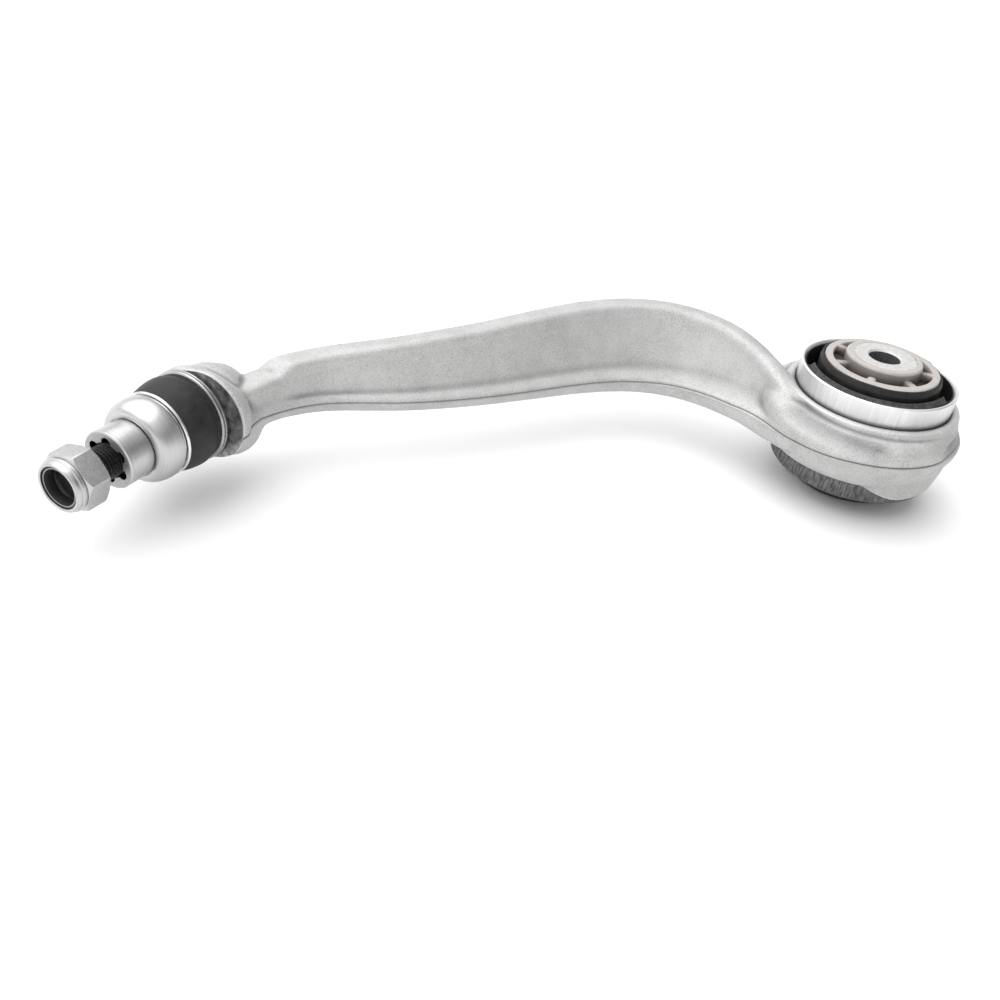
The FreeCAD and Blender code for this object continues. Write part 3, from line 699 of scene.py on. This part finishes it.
def eye_relief(points, radii):
    """How far the forging is drawn in round the eye: two soft hollows under its lip."""
    near = smoothstep(38, 40.5, radii)
    left_height = np.interp(headings(points), [-175, -100], [11.5, 8.2])
    left_depth = 3.6 * bell_curve(points[:, 2] - left_height, 3.1)
    right_depth = 4.0 * bell_curve(points[:, 2] - 7.6, 3.6)
    left = left_depth * heading_window(points, -168, -104, 7)
    right = right_depth * heading_window(points, -66, -16, 13)
    return near * (left + right)


SKIN_GRID = 0.7
SEAM_REACH = 1.3
SOCKET = [(0.01, -14), (10.2, -14), (15.5, -5), (15.5, 20), (0.01, 20)]


def build_forging():
    """The forging: remeshed so that its junctions flow, detailed, then bored and faced again."""
    face_height = SEAT_RING.low
    piece = node_copy("arm_forging", "arm_forging_skin")
    plugs = [
        lathe("eye_plug", [(0.01, -11), (EYE.inner + 1, -11), (EYE.inner + 1, 10), (0.01, 10)],
              ON_BUSH, 64),
        lathe("socket_plug", [(0.01, -13), (16.5, -13, 4), (16.5, face_height), (0.01, face_height)],
              ON_PIN, 64),
    ]
    join([piece, *plugs, *housing_lumps(), eye_lobe()])
    with_modifier(piece, "REMESH", mode="VOXEL", voxel_size=SKIN_GRID * MM)
    points = points_of(piece) / MM
    to_eye = radii_of(points)
    to_pin = np.linalg.norm(points - np.array(PIN_CENTRE) / MM, axis=1)
    relax(piece, np.full(len(points), 0.5), 4)
    near_eye = smoothstep(70, 56, to_eye) * smoothstep(44, 47, to_eye)
    near_pin = smoothstep(40, 30, to_pin)
    relax(piece, 0.5 * np.maximum(near_eye, near_pin), 34)

    lower_housing_back(piece)
    points = points_of(piece) / MM
    radii = radii_of(points)
    shrink = 1 - eye_relief(points, radii) / np.maximum(radii, 1)
    points[:, :2] *= np.where(radii > EYE.inner + 1, shrink, 1)[:, None]
    move_points(piece, points * MM)
    relax(piece, np.full(len(points), 0.5), 3)

    centres, normals = faces_of(piece)
    refine(piece, (np.abs(above_parting(centres)) < SEAM_REACH) & (np.abs(normals[:, 2]) < 0.85), 2)
    raise_seam(piece)

    far = 60
    bore = lathe("bore", [(0.01, -far), (EYE.inner, -far), (EYE.inner, far), (0.01, far)], ON_BUSH, 256)
    combine(piece, bore, "DIFFERENCE")
    facing_cut = lathe("facing", [(0.01, face_height), (far, face_height), (far, 90), (0.01, 90)],
                       ON_PIN, 64)
    combine(piece, facing_cut, "DIFFERENCE")
    foot = lathe("foot_recess", [(0.01, -far), (SLEEVE.outer, -far), (SLEEVE.outer, FOOT_TOP),
                                 (0.01, FOOT_TOP)], ON_BUSH, 256)
    combine(piece, foot, "DIFFERENCE")
    combine(piece, lathe("socket", SOCKET, ON_PIN, 96), "DIFFERENCE")
    shade_forging(piece)
    finish_piece(piece, "forged_aluminium", "arm")
    centres, normals = faces_of(piece)
    on_face = np.abs(along_pin(centres) - face_height) < 0.05
    paint(piece, "machined_aluminium", on_face & (normals @ np.array(PIN_AXIS) > 0.9))
    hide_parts("arm_forging")


SEAM_LIFT, STEP_DEPTH = 0.42, 0.22


def raise_seam(piece):
    """Raise the trimmed flash along the parting line, with a fine step above it."""
    points, normals = points_of(piece) / MM, normals_of(piece)
    height = above_parting(points)
    upright = smoothstep(0.9, 0.6, np.abs(normals[:, 2]))
    lift = SEAM_LIFT * bell_curve(height, 0.55) - STEP_DEPTH * bell_curve(height - 0.85, 0.4)
    move_points(piece, (points + normals * (lift * upright)[:, None]) * MM)


def shade_forging(piece):
    """Mark painted shadow above the seam, painted shade in the hollows and creases, and a painted
    highlight on the outer edges, for the finish to read.
    """
    points, normals = points_of(piece) / MM, normals_of(piece)
    bulge = bulge_of(piece, 7)
    radii = radii_of(points)
    outside = smoothstep(EYE.inner + 0.5, EYE.inner + 1, radii)
    outside *= smoothstep(SEAT_RING.low - 0.2, SEAT_RING.low - 0.8, along_pin(points))
    upright = smoothstep(0.9, 0.6, np.abs(normals[:, 2]))
    # Painted shadow along the step just above the flash ridge.
    note(piece, "seam_painted_shadow", 0.85 * bell_curve(above_parting(points) - 0.75, 0.34) * upright * outside)
    # Painted shade in creases, in the carved hollows and in the crevice beside the sleeve.
    sleeve_crevice_shade = 0.75 * smoothstep(EYE.inner + 2.6, EYE.inner + 0.4, radii) * (points[:, 2] > 0)
    crease_shade = 0.75 * smoothstep(0.002, 0.026, -bulge) * outside
    relief_shade = 0.13 * eye_relief(points, radii) * outside * (points[:, 2] < EYE_LIP - 1)
    note(piece, "hollow_painted_shade", np.maximum.reduce([crease_shade, relief_shade, sleeve_crevice_shade]))
    # Painted highlight on convex edges.
    note(piece, "wear_and_painted_highlight", 0.5 * smoothstep(0.015, 0.055, bulge) * outside)


def join(pieces):
    """Join pieces into the first."""
    with bpy.context.temp_override(active_object=pieces[0], selected_editable_objects=pieces,
                                   selected_objects=pieces, object=pieces[0]):
        bpy.ops.object.join()


build_forging()


# -------------------- bush

BUSH_TURNED_OVER = Matrix.Rotation(math.pi, 4, "X")
CORE = Span("bush_inner_sleeve", ON_BUSH)
CAGE = Span("cage_upper", ON_BUSH)


def wobble(angle, seed, waves):
    """A smooth closed ripple of about plus or minus one."""
    chance = np.random.default_rng(seed)
    total = np.zeros_like(angle)
    for wave in range(1, waves + 1):
        total += chance.normal() * np.sin(wave * angle + chance.uniform(0, 2 * math.pi)) / wave ** 0.5
    return total / 1.6


def build_outer_sleeve():
    """Drawn sleeve with a rolled rim and a serrated foot below the eye."""
    low, high, inner, foot, wall = SLEEVE.low, SLEEVE.high, SLEEVE.inner, SLEEVE.outer, EYE.inner
    band_top, teeth, tooth_depth = FOOT_TOP, 104, 0.42

    def serrate(radius, height, angle):
        in_band = (radius > foot - 0.5) & (height > low + 1)
        ridge = np.abs((angle * teeth / (2 * math.pi) + 0.3 * wobble(angle, 3, 30)) % 1 - 0.5) * 2
        return radius - in_band * tooth_depth * ridge, height

    piece = lathe("bush_sleeve", [
        (inner, low + 0.6), (inner + 0.7, low), (foot - 1.4, low), (foot - 0.1, low + 1.3),
        (foot, low + 1.6), (foot, band_top - 0.4), (foot - 0.3, band_top - 0.02),
        (wall, band_top - 0.02), (wall, EYE_LIP - 1), (wall, EYE_LIP + 0.6), (wall, EYE_LIP + 1.4),
        (wall, EYE_LIP + 2.4), (wall, high - 0.5), (wall - 0.4, high, 0.2),
        (inner + 0.9, high, 0.3), (inner, high - 1.3)], ON_BUSH, 832, serrate)
    heights = points_of(piece)[:, 2] / MM
    # Painted highlight along the top of the rim.
    note(piece, "wear_and_painted_highlight", smoothstep(high - 0.7, high - 0.25, heights))
    note(piece, "shaded", 0.8 * smoothstep(EYE_LIP + 2.2, EYE_LIP - 0.2, heights))
    finish_piece(piece, "sleeve_aluminium", "arm")
    centres, _ = faces_of(piece)
    paint(piece, "serrated_band", centres[:, 2] < band_top)
    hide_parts("bush_outer_sleeve")


def build_core():
    """Inner sleeve: its pale end shows inside the cage's ragged hub."""
    piece = lathe("bush_core_sleeve", [
        (CORE.inner, CORE.low + 0.6), (CORE.inner + 0.6, CORE.low), (CORE.outer - 0.6, CORE.low),
        (CORE.outer, CORE.low + 0.6), (CORE.outer, CORE.high - 0.6), (CORE.outer - 0.6, CORE.high),
        (CORE.inner + 0.7, CORE.high, 0.3), (CORE.inner, CORE.high - 0.9)], ON_BUSH, 192)
    finish_piece(piece, "core_aluminium", "bush_core")
    centres, normals = faces_of(piece)
    inside = (normals[:, 0] * centres[:, 0] + normals[:, 1] * centres[:, 1] < 0)
    # Painted shade on the walls inside the core's bore.
    paint(piece, "dark_bore_painted_shade", inside & (np.abs(normals[:, 2]) < 0.5))
    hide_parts("bush_inner_sleeve")


# The cage's ribs, and its radii and heights.
RIBS, RIB_TURN = 7, math.radians(24.4)
HUB_RADIUS, RING_INNER = CORE.outer + 2.4, 22.6
HUB_TOP, RING_TOP, POCKET_FLOOR, CAGE_FLOOR = CORE.high + 0.08, 30.6, 26.6, 25.4


def rib_block(name, angle, start, end, width, top):
    """A rib along a direction out from the axis."""
    half = width / 2
    sides = [(start, -half), (end, -half), (end, half), (start, half)]
    rib = prism(name, sides, POCKET_FLOOR - 0.6, top)
    rib.data.transform(Matrix.Rotation(angle, 4, "Z"))
    return rib


def build_cage(name, node, seed, flip):
    """Plastic cage: a ragged hub, a ring sunk in the rubber, and ribs, one of them cut short."""
    ring_radius = CAGE.outer

    def ragged(radius, height, angle):
        lip = (radius < CORE.outer - 0.2)
        edge = radius + 0.34 * wobble(angle, seed, 34) + 0.25 * wobble(angle, seed + 7, 5)
        ring = (radius > ring_radius - 0.2) & (height > RING_TOP - 1)
        return (np.where(lip, edge, radius) + ring * 0.12 * wobble(angle, seed + 1, 16),
                height + 0.05 * wobble(angle, seed + 2, 8) * (height > RING_TOP - 1))

    piece = lathe(name, [
        (CORE.outer + 0.02, CAGE_FLOOR), (ring_radius - 0.8, CAGE_FLOOR),
        (ring_radius, CAGE_FLOOR + 1.2),
        (ring_radius, RING_TOP - 0.5), (ring_radius - 0.5, RING_TOP, 0.2),
        (RING_INNER + 0.3, RING_TOP, 0.2), (RING_INNER, RING_TOP - 0.4), (RING_INNER, POCKET_FLOOR, 0.5),
        (HUB_RADIUS + 0.2, POCKET_FLOOR, 0.5), (HUB_RADIUS + 0.1, HUB_TOP - 1.5),
        (HUB_RADIUS, HUB_TOP - 0.7), (HUB_RADIUS - 0.6, HUB_TOP + 0.1, 0.3),
        (CORE.outer - 0.6, HUB_TOP + 0.1),
        (CORE.outer - 0.8, CORE.high + 0.01), (CORE.outer + 0.02, CORE.high + 0.01)],
        ON_BUSH, 224, ragged)
    for index in range(RIBS):
        angle = RIB_TURN + 2 * math.pi * index / RIBS
        is_short = index == RIBS - 3
        start = RING_INNER - 4.5 if is_short else HUB_RADIUS - 0.5
        width, edge = (4.4, 1.5) if is_short else (3.1, 0.4)
        rib = rib_block("rib", angle, start, RING_INNER + 1.6, width, RING_TOP - 0.02)
        with_modifier(rib, "BEVEL", width=edge * MM, segments=3)
        combine(piece, rib, "UNION")
    heights = points_of(piece)[:, 2] / MM
    radii = radii_of(points_of(piece)) / MM
    # Painted shade: darker down the pocket walls and the hub's wall.
    deep = smoothstep(RING_TOP - 0.2, RING_TOP - 1.8, heights) * (radii < ring_radius - 1)
    hub_wall_shade = 0.6 * smoothstep(HUB_TOP - 0.5, HUB_TOP - 1.4, heights) * (radii < HUB_RADIUS + 0.6)
    note(piece, "deep", np.maximum(deep, hub_wall_shade))
    if flip:
        piece.data.transform(BUSH_TURNED_OVER)
    finish_piece(piece, "cage_plastic", "bush_core", sharp=40)
    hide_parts(node)


# Radius of the rubber round the cage, the groove that lets the core tilt, and the rubber's top.
RUBBER_STEP, TILT_GAP, RUBBER_TOP = 28.0, 2.3, 30.0


def build_rubber_ring(name, flip):
    """Rubber that the cage is sunk in, moulded on the inner sleeve."""
    def uneven(radius, height, angle):
        lift = (height > 27) * 0.12 * wobble(angle, 32, 12)
        return radius + 0.12 * wobble(angle, 31, 14) * (radius > CAGE.outer), height + lift

    piece = lathe(name, [
        (CORE.outer + 0.05, 10), (24, 10), (RUBBER_STEP - 2.5, 12, 2), (RUBBER_STEP - 0.4, 18, 2),
        (RUBBER_STEP - 0.2, 21), (RUBBER_STEP, RUBBER_TOP - 2.6, 1.2),
        (RUBBER_STEP - 0.7, RUBBER_TOP, 0.6), (CAGE.outer + 0.1, RUBBER_TOP, 0.2),
        (CAGE.outer + 0.05, 26), (CAGE.outer - 1, CAGE_FLOOR - 0.1),
        (CORE.outer + 0.05, CAGE_FLOOR - 0.1)], ON_BUSH, 224, uneven)
    if flip:
        piece.data.transform(BUSH_TURNED_OVER)
    finish_piece(piece, "bush_rubber", "bush_core", sharp=50)
    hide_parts("bush_rubber")


# The voids between the webs: middle heading and half width, in degrees.
VOIDS = [(141, 26), (-21, 28), (62, 16)]
APRON_OUTER = 33.4


def build_rubber_lip(name, flip):
    """Rubber bonded in the sleeve: a worn apron with deep voids between its webs."""
    shelf, edge, inner_edge = 15.1, SLEEVE.high - 1.2, RUBBER_STEP + TILT_GAP

    def sunk(radius, height, angle):
        depth = np.zeros_like(angle)
        for middle, half in VOIDS:
            away = np.abs((np.degrees(angle) - middle + 180) % 360 - 180)
            depth = np.maximum(depth, 1 - smoothstep(half - 2.5, half, away))
        open_part = (radius < APRON_OUTER) & (height > shelf + 1)
        floor = shelf + 0.4
        ripple = 0.2 * wobble(angle, 41, 14) * open_part
        return radius, height + (floor - height) * depth * open_part + ripple * (1 - depth)

    piece = lathe(name, [
        (inner_edge, shelf), (SLEEVE.inner - 0.02, shelf), (SLEEVE.inner - 0.02, edge),
        (33.6, edge - 0.1, 0.15), (33.3, 25.0), (32.6, 24.6, 0.8), (31.6, 25.4, 0.6),
        (inner_edge + 0.5, 26.6, 0.4), (inner_edge, 26.0)],
        ON_BUSH, 432, sunk)
    points = points_of(piece) / MM
    radii = radii_of(points)
    note(piece, "wear_and_painted_highlight", smoothstep(22.5, 23.5, points[:, 2]) * smoothstep(APRON_OUTER, 32, radii))
    if flip:
        piece.data.transform(BUSH_TURNED_OVER)
    finish_piece(piece, "bush_rubber", "arm", sharp=55)
    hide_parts("bush_rubber")


build_outer_sleeve()
build_core()
build_cage("cage_top", "cage_upper", 5, False)
build_cage("cage_bottom", "cage_lower", 12, True)
build_rubber_ring("rubber_ring_top", False)
build_rubber_ring("rubber_ring_bottom", True)
build_rubber_lip("rubber_apron_top", False)
build_rubber_lip("rubber_apron_bottom", True)


# -------------------- ball joint

BOOT = Span("dust_boot")
TIP_RING = Span("boot_tip_ring")
SPACER = Span("spacer_sleeve")
NUT = Span("lock_nut")
INSERT = Span("nut_insert")


def smooth_run(corners, per_span=6):
    """Points along a Catmull-Rom curve through the corners."""
    spots = [np.array(corner, float) for corner in corners]
    spots = [2 * spots[0] - spots[1], *spots, 2 * spots[-1] - spots[-2]]
    run = []
    for a, b, c, d in zip(spots, spots[1:], spots[2:], spots[3:]):
        for t in np.linspace(0, 1, per_span, endpoint=False):
            run.append(0.5 * (2 * b + (c - a) * t + (2 * a - 5 * b + 4 * c - d) * t ** 2
                              + (3 * b - a - 3 * c + d) * t ** 3))
    return [tuple(spot) for spot in [*run, spots[-2]]]


def build_seat_ring():
    """Bright ring on the housing's face, with two grooves round it."""
    low, high, outer = SEAT_RING.low, SEAT_RING.high, SEAT_RING.outer + 0.7
    piece = lathe("boot_clamp_ring", [
        (SEAT_RING.inner, low), (outer - 1.2, low), (outer - 0.9, low + 0.3), (outer - 0.9, low + 0.8),
        (outer, low + 1.0, 0.2), (outer, low + 1.75, 0.2), (outer - 0.65, low + 1.95),
        (outer - 0.65, low + 2.2), (outer - 0.1, low + 2.4, 0.2), (outer - 0.2, low + 3.1, 0.3),
        (outer - 0.9, high - 0.2, 0.2), (outer - 1.9, high, 0.2), (SEAT_RING.inner, high)])
    finish_piece(piece, "ring_steel", "arm")
    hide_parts("boot_seat_ring")


def build_boot():
    """Rubber boot in two halves, the foot and the tip."""
    low, high, wall, lip = SEAT_RING.high - 0.1, BOOT.high, 1.2, 1.8
    middle, stiff_lip = low + 6.9, high - lip - 1
    outer = smooth_run([
        (18.5, low), (18.95, low + 0.4), (18.45, low + 0.8), (18.6, low + 1.05), (19.1, low + 1.4),
        (18.75, low + 1.8), (19.2, low + 2.5), (19.7, low + 4.4), (19.75, middle), (19.4, high - 6.7),
        (18.9, high - 4.2), (18.1, high - 1.5), (17.4, high)])
    lower = [spot for spot in outer if spot[1] < middle - 0.01]
    upper = [spot for spot in outer if spot[1] > middle + 0.01]
    waist = (19.75, middle)
    halves = (
        ("boot_foot_half", [(16.4, low), *lower, waist, (waist[0] - wall, middle),
                            (19.6 - wall, low + 4.4), (18.9 - wall, low + 2.4), (16.9, low + 0.8)],
         "arm", "boot", low, middle),
        ("boot_tip_half", [waist, *upper, (TIP_RING.inner, high), (TIP_RING.inner, high - lip),
                           (15.4, high - lip - 0.5), (18.6 - wall, high - 5),
                           (waist[0] - wall, middle)], "boot", "boot_tip", middle, stiff_lip))
    for name, outline, first, second, start, end in halves:
        piece = lathe(name, outline)
        heights = points_of(piece)[:, 2] / MM
        note(piece, "wear_and_painted_highlight", 0.5 * smoothstep(low + 2.2, low + 0.6, heights))
        finish_piece(piece, "boot_rubber", sharp=60)
        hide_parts("dust_boot")
        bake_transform(piece)


def build_tip_ring():
    """Thin bright ring behind the bell's rim."""
    low, high, outer = TIP_RING.low, TIP_RING.high, SPACER.outer + 0.55
    piece = lathe("boot_end_ring", [
        (TIP_RING.inner, low), (outer - 0.6, low), (outer, low + 0.4, 0.2), (outer, high - 0.8, 0.2),
        (outer - 0.4, high - 0.4, 0.2), (outer - 1.6, high - 0.3), (outer - 1.6, high),
        (TIP_RING.inner, high)])
    finish_piece(piece, "bright_ring", "boot_tip")
    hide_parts("boot_tip_ring")


# The star-shaped mouth of the spacer.
STAR_DEPTH, STAR_LOBES = 7.0, 6
STAR_REACH, STAR_LOBE_RADIUS = 9.9, 2.4


def star_radius(angle, base):
    """Radius of a star-shaped hole: a circle with round lobes cut into it."""
    away = (angle + math.pi / STAR_LOBES) % (2 * math.pi / STAR_LOBES) - math.pi / STAR_LOBES
    centre = STAR_REACH - STAR_LOBE_RADIUS
    inside = STAR_LOBE_RADIUS ** 2 - (centre * np.sin(away)) ** 2
    lobe = np.where(inside > 0, centre * np.cos(away) + np.sqrt(np.maximum(inside, 0)), 0)
    return np.maximum(base, lobe)


def build_spacer():
    """Domed bell and neck of polished steel, with a star-shaped mouth where the thread comes out."""
    rim, end, bell = SPACER.low, SPACER.high, SPACER.outer + 0.4
    bore, neck = SPACER.inner, 12.1
    star_floor = end - STAR_DEPTH
    foot, dome_top, waist = neck + 0.5, rim + 11.4, rim + 3.4
    dome = [(foot + (bell - foot) * math.cos(t) ** 0.85, waist + (dome_top - waist) * math.sin(t))
            for t in np.linspace(0, math.pi / 2, 22)[:-1]]

    def star(radius, height, angle):
        is_star = (radius < bore + 0.5) & (height > star_floor - 0.05)
        return np.where(is_star, star_radius(angle, radius), radius), height

    piece = lathe("spacer_bell", [
        (bore, rim + 2.2), (10.5, rim + 2.2), (10.5, rim), (bell - 1.1, rim),
        (bell - 0.35, rim + 0.5, 0.3), (bell - 0.05, rim + 1.8), *dome, (foot, dome_top - 0.05),
        (foot - 0.1, dome_top - 0.9), (neck - 0.15, dome_top - 0.9), (neck, dome_top - 0.1),
        (neck, end - 1.3), (neck - 0.16, end - 1.2), (neck - 0.16, end - 1.0), (neck + 0.06, end - 0.85),
        (neck + 0.06, end - 0.4, 0.2), (neck - 0.45, end, 0.1), (neck - 0.6, end - 0.12),
        (neck - 0.75, end, 0.05), (bore + 0.3, end), (bore, end - 0.3),
        (bore, star_floor), (bore, star_floor - 0.1)], ON_PIN, 360, star)
    finish_piece(piece, "spacer_steel", "pin", sharp=35)
    centres, normals = faces_of(piece)
    radii = radii_of(centres)
    height = centres[:, 2]
    paint(piece, "spacer_face", (normals[:, 2] > 0.9) & (height > end - 0.6) & (radii < neck + 0.3))
    paint(piece, "stud_steel", (height < end - 0.4) & (radii < STAR_REACH + 0.3))
    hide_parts("spacer_sleeve")


NUT_ACROSS, NUT_TURN, NUT_COLLAR = 22.0, math.radians(-18), 11.0


def build_nut():
    """Hexagon nut: chamfered flats, and a stepped, crimped collar over its insert."""
    across, turn, collar = NUT_ACROSS, NUT_TURN, NUT_COLLAR
    corner = across / 2 / math.cos(math.pi / 6)
    low, high, shoulder = NUT.low, NUT.high, NUT.low + 10.4
    bore, seat = SPACER.inner, INSERT.outer + 0.1
    sides = [(corner * math.cos(turn + k * math.pi / 3), corner * math.sin(turn + k * math.pi / 3))
             for k in range(6)]
    piece = prism("nut_body", sides, low - 2, high + 2, ON_PIN)
    with_modifier(piece, "BEVEL", width=0.3 * MM, segments=3, limit_method="ANGLE")
    turned = lathe("nut_turning", [
        (bore + 1.0, low), (across / 2 - 0.4, low, 0.2), (corner + 0.6, low + 1.3),
        (corner + 0.6, shoulder - 1.7), (across / 2 - 0.1, shoulder, 0.3),
        (collar - 0.7, shoulder + 0.1, 0.15), (collar - 0.75, shoulder + 0.7, 0.15),
        (collar - 0.05, shoulder + 0.95, 0.2), (collar - 0.05, shoulder + 1.9, 0.2),
        (collar - 0.5, shoulder + 2.1, 0.15), (collar - 0.6, high - 0.9, 0.7), (collar - 1.4, high, 0.4),
        (seat + 0.2, high, 0.2), (seat - 0.2, high - 0.3, 0.2), (seat - 0.2, INSERT.high + 0.05),
        (seat, INSERT.high), (seat, INSERT.low - 0.02), (bore, INSERT.low - 0.02), (bore, low + 1.1)])
    combine(piece, turned, "INTERSECT")
    with_modifier(piece, "BEVEL", width=0.14 * MM, segments=2, limit_method="ANGLE",
                  angle_limit=math.radians(28))
    finish_piece(piece, "nut_zinc", "nut", sharp=38)
    centres, normals = faces_of(piece)
    across_flats = radii_of(normals) > 0.995
    heading = (np.arctan2(normals[:, 1], normals[:, 0]) - turn) % (math.pi / 3)
    on_flat = across_flats & (np.abs(heading - math.pi / 6) < 0.02) & (centres[:, 2] < shoulder)
    paint(piece, "nut_turned", ~on_flat)
    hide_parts("lock_nut")


def build_insert():
    """Black plastic insert, with a fine grey ring and a dark bore."""
    inner, outer, low, high = INSERT.inner, INSERT.outer, INSERT.low, INSERT.high
    piece = lathe("nut_grip_ring", [
        (inner, low), (outer, low), (outer, high - 0.05), (outer - 0.45, high - 0.05, 0.05),
        (outer - 0.5, high - 0.3), (outer - 0.7, high - 0.3), (outer - 0.75, high, 0.05),
        (outer - 1.3, high, 0.05), (outer - 1.4, high - 0.35, 0.1), (inner + 0.3, high - 0.6, 0.2),
        (inner, high - 1.2)])
    centres, _ = faces_of(piece)
    finish_piece(piece, "insert_plastic", "nut_carrier")
    radii = radii_of(centres)
    paint(piece, "insert_ring", (np.abs(radii - outer + 1.03) < 0.32) & (centres[:, 2] > high - 0.2))
    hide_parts("nut_insert")


build_seat_ring()
build_boot()
build_tip_ring()
build_spacer()
build_nut()
build_insert()


# -------------------- CAD nodes that are shown as they are

for kept_node, kept_slot in {
        "channel_shell_right": "channel_plastic", "channel_shell_left": "channel_plastic",
        "radial_stop": "stop_plastic", "ball_seat": "seat_plastic", "seat_spring": "spring_steel",
        "closing_ring": "ring_steel", "ball_stud": "stud_steel"}.items():
    shown = frame["nodes"][kept_node]
    shown.data.materials.clear()
    shown.data.materials.append(FINISHES[kept_slot])


# -------------------- floor, light and camera

# The camera's place in metres, its turns in degrees, and its lens and sensor in millimetres.
CAMERA_PLACE = (-0.2583, -0.3864, 0.2189)
CAMERA_AZIMUTH, CAMERA_ELEVATION, CAMERA_ROLL = -12.65, 34.13, 7.9
CAMERA_LENS, CAMERA_SENSOR = 36, 36
# Half the floor's side, and the gap between the part and the floor, in metres.
FLOOR_HALF, FLOOR_GAP = 4.0, 0.0002


def add_floor():
    """A plain pale floor just under the part."""
    half, level = FLOOR_HALF, CAD_BOUNDS[0].z - FLOOR_GAP
    mesh = bpy.data.meshes.new("floor")
    corners = [(-half, -half, level), (half, -half, level), (half, half, level), (-half, half, level)]
    mesh.from_pydata(corners, [], [(0, 1, 2, 3)])
    look = Finish("pale_floor", Roughness=0.9)
    look.coat(look.ramp(look.noise(900, detail=2), (0.3, 0.84), (0.7, 0.86)))
    mesh.materials.append(FINISHES["pale_floor"])
    add_object("floor", mesh)


def add_light(name, kind, place, aim, **settings):
    """A light at a place, shining along a direction."""
    light = bpy.data.lights.new(name, kind)
    set_all(light, settings)
    turned = Vector(aim).to_track_quat("-Z", "Y").to_matrix().to_4x4()
    add_object(name, light, Matrix.Translation(place) @ turned)


# One very large soft light, overhead and a little behind, and a softbox on the nut's side.
SUN = {"energy": 2.0, "angle": math.radians(90)}
SUN_AIM = (0.4, -0.25, -1.0)
SOFTBOX = {"energy": 0.8, "shape": "RECTANGLE", "size": 0.5, "size_y": 0.9}
SOFTBOX_PLACE, SOFTBOX_AIM = (-1.1, -0.55, 0.55), (0.9, 0.55, -0.55)
# The dome: brightness by height, and its strength from one side of the part (low X) to the other.
DOME_STOPS = [(0.0, 1.1), (0.2, 0.8), (0.42, 0.32), (0.6, 0.72), (0.9, 1.0)]
DOME_FADE = {"From Min": -0.3, "From Max": 0.9, "To Min": 1.52, "To Max": 0.66}


def add_world():
    """A pale dome: bright overhead, dimmer halfway up, and dimmer towards the bush's side."""
    world = bpy.data.worlds.new("studio")
    world.use_nodes = True
    tree = world.node_tree
    place = tree.nodes.new("ShaderNodeTexCoord")
    parts = tree.nodes.new("ShaderNodeSeparateXYZ")
    ramp = tree.nodes.new("ShaderNodeValToRGB")
    tree.links.new(place.outputs["Generated"], parts.inputs[0])
    tree.links.new(parts.outputs["Z"], ramp.inputs["Fac"])
    tree.links.new(ramp.outputs[0], tree.nodes["Background"].inputs["Color"])
    fade = tree.nodes.new("ShaderNodeMapRange")
    for name, value in DOME_FADE.items():
        fade.inputs[name].default_value = value
    tree.links.new(parts.outputs["X"], fade.inputs[0])
    tree.links.new(fade.outputs[0], tree.nodes["Background"].inputs["Strength"])
    set_stops(ramp, DOME_STOPS)
    bpy.context.scene.world = world


def add_camera():
    """The camera, turned about the upright by its azimuth, raised by its elevation, then rolled."""
    azimuth, elevation = math.radians(CAMERA_AZIMUTH), math.radians(CAMERA_ELEVATION)
    roll = math.radians(CAMERA_ROLL)
    back = Vector((math.sin(azimuth) * math.cos(elevation),
                   -math.cos(azimuth) * math.cos(elevation), math.sin(elevation)))
    level = UP.cross(back).normalized()
    upright = back.cross(level)
    right = level * math.cos(roll) + upright * math.sin(roll)
    data = bpy.data.cameras.new("camera")
    data.lens, data.sensor_width = CAMERA_LENS, CAMERA_SENSOR
    data.clip_start, data.clip_end = 0.01, 50
    turned = Matrix((right, back.cross(right), back)).transposed().to_4x4()
    bpy.context.scene.camera = add_object("camera", data, Matrix.Translation(CAMERA_PLACE) @ turned)


add_floor()
add_world()
add_light("overhead", "SUN", (0, 0, 0), SUN_AIM, **SUN)
add_light("left_softbox", "AREA", SOFTBOX_PLACE, SOFTBOX_AIM, **SOFTBOX)
add_camera()
bpy.context.scene.view_settings.view_transform = "Standard"
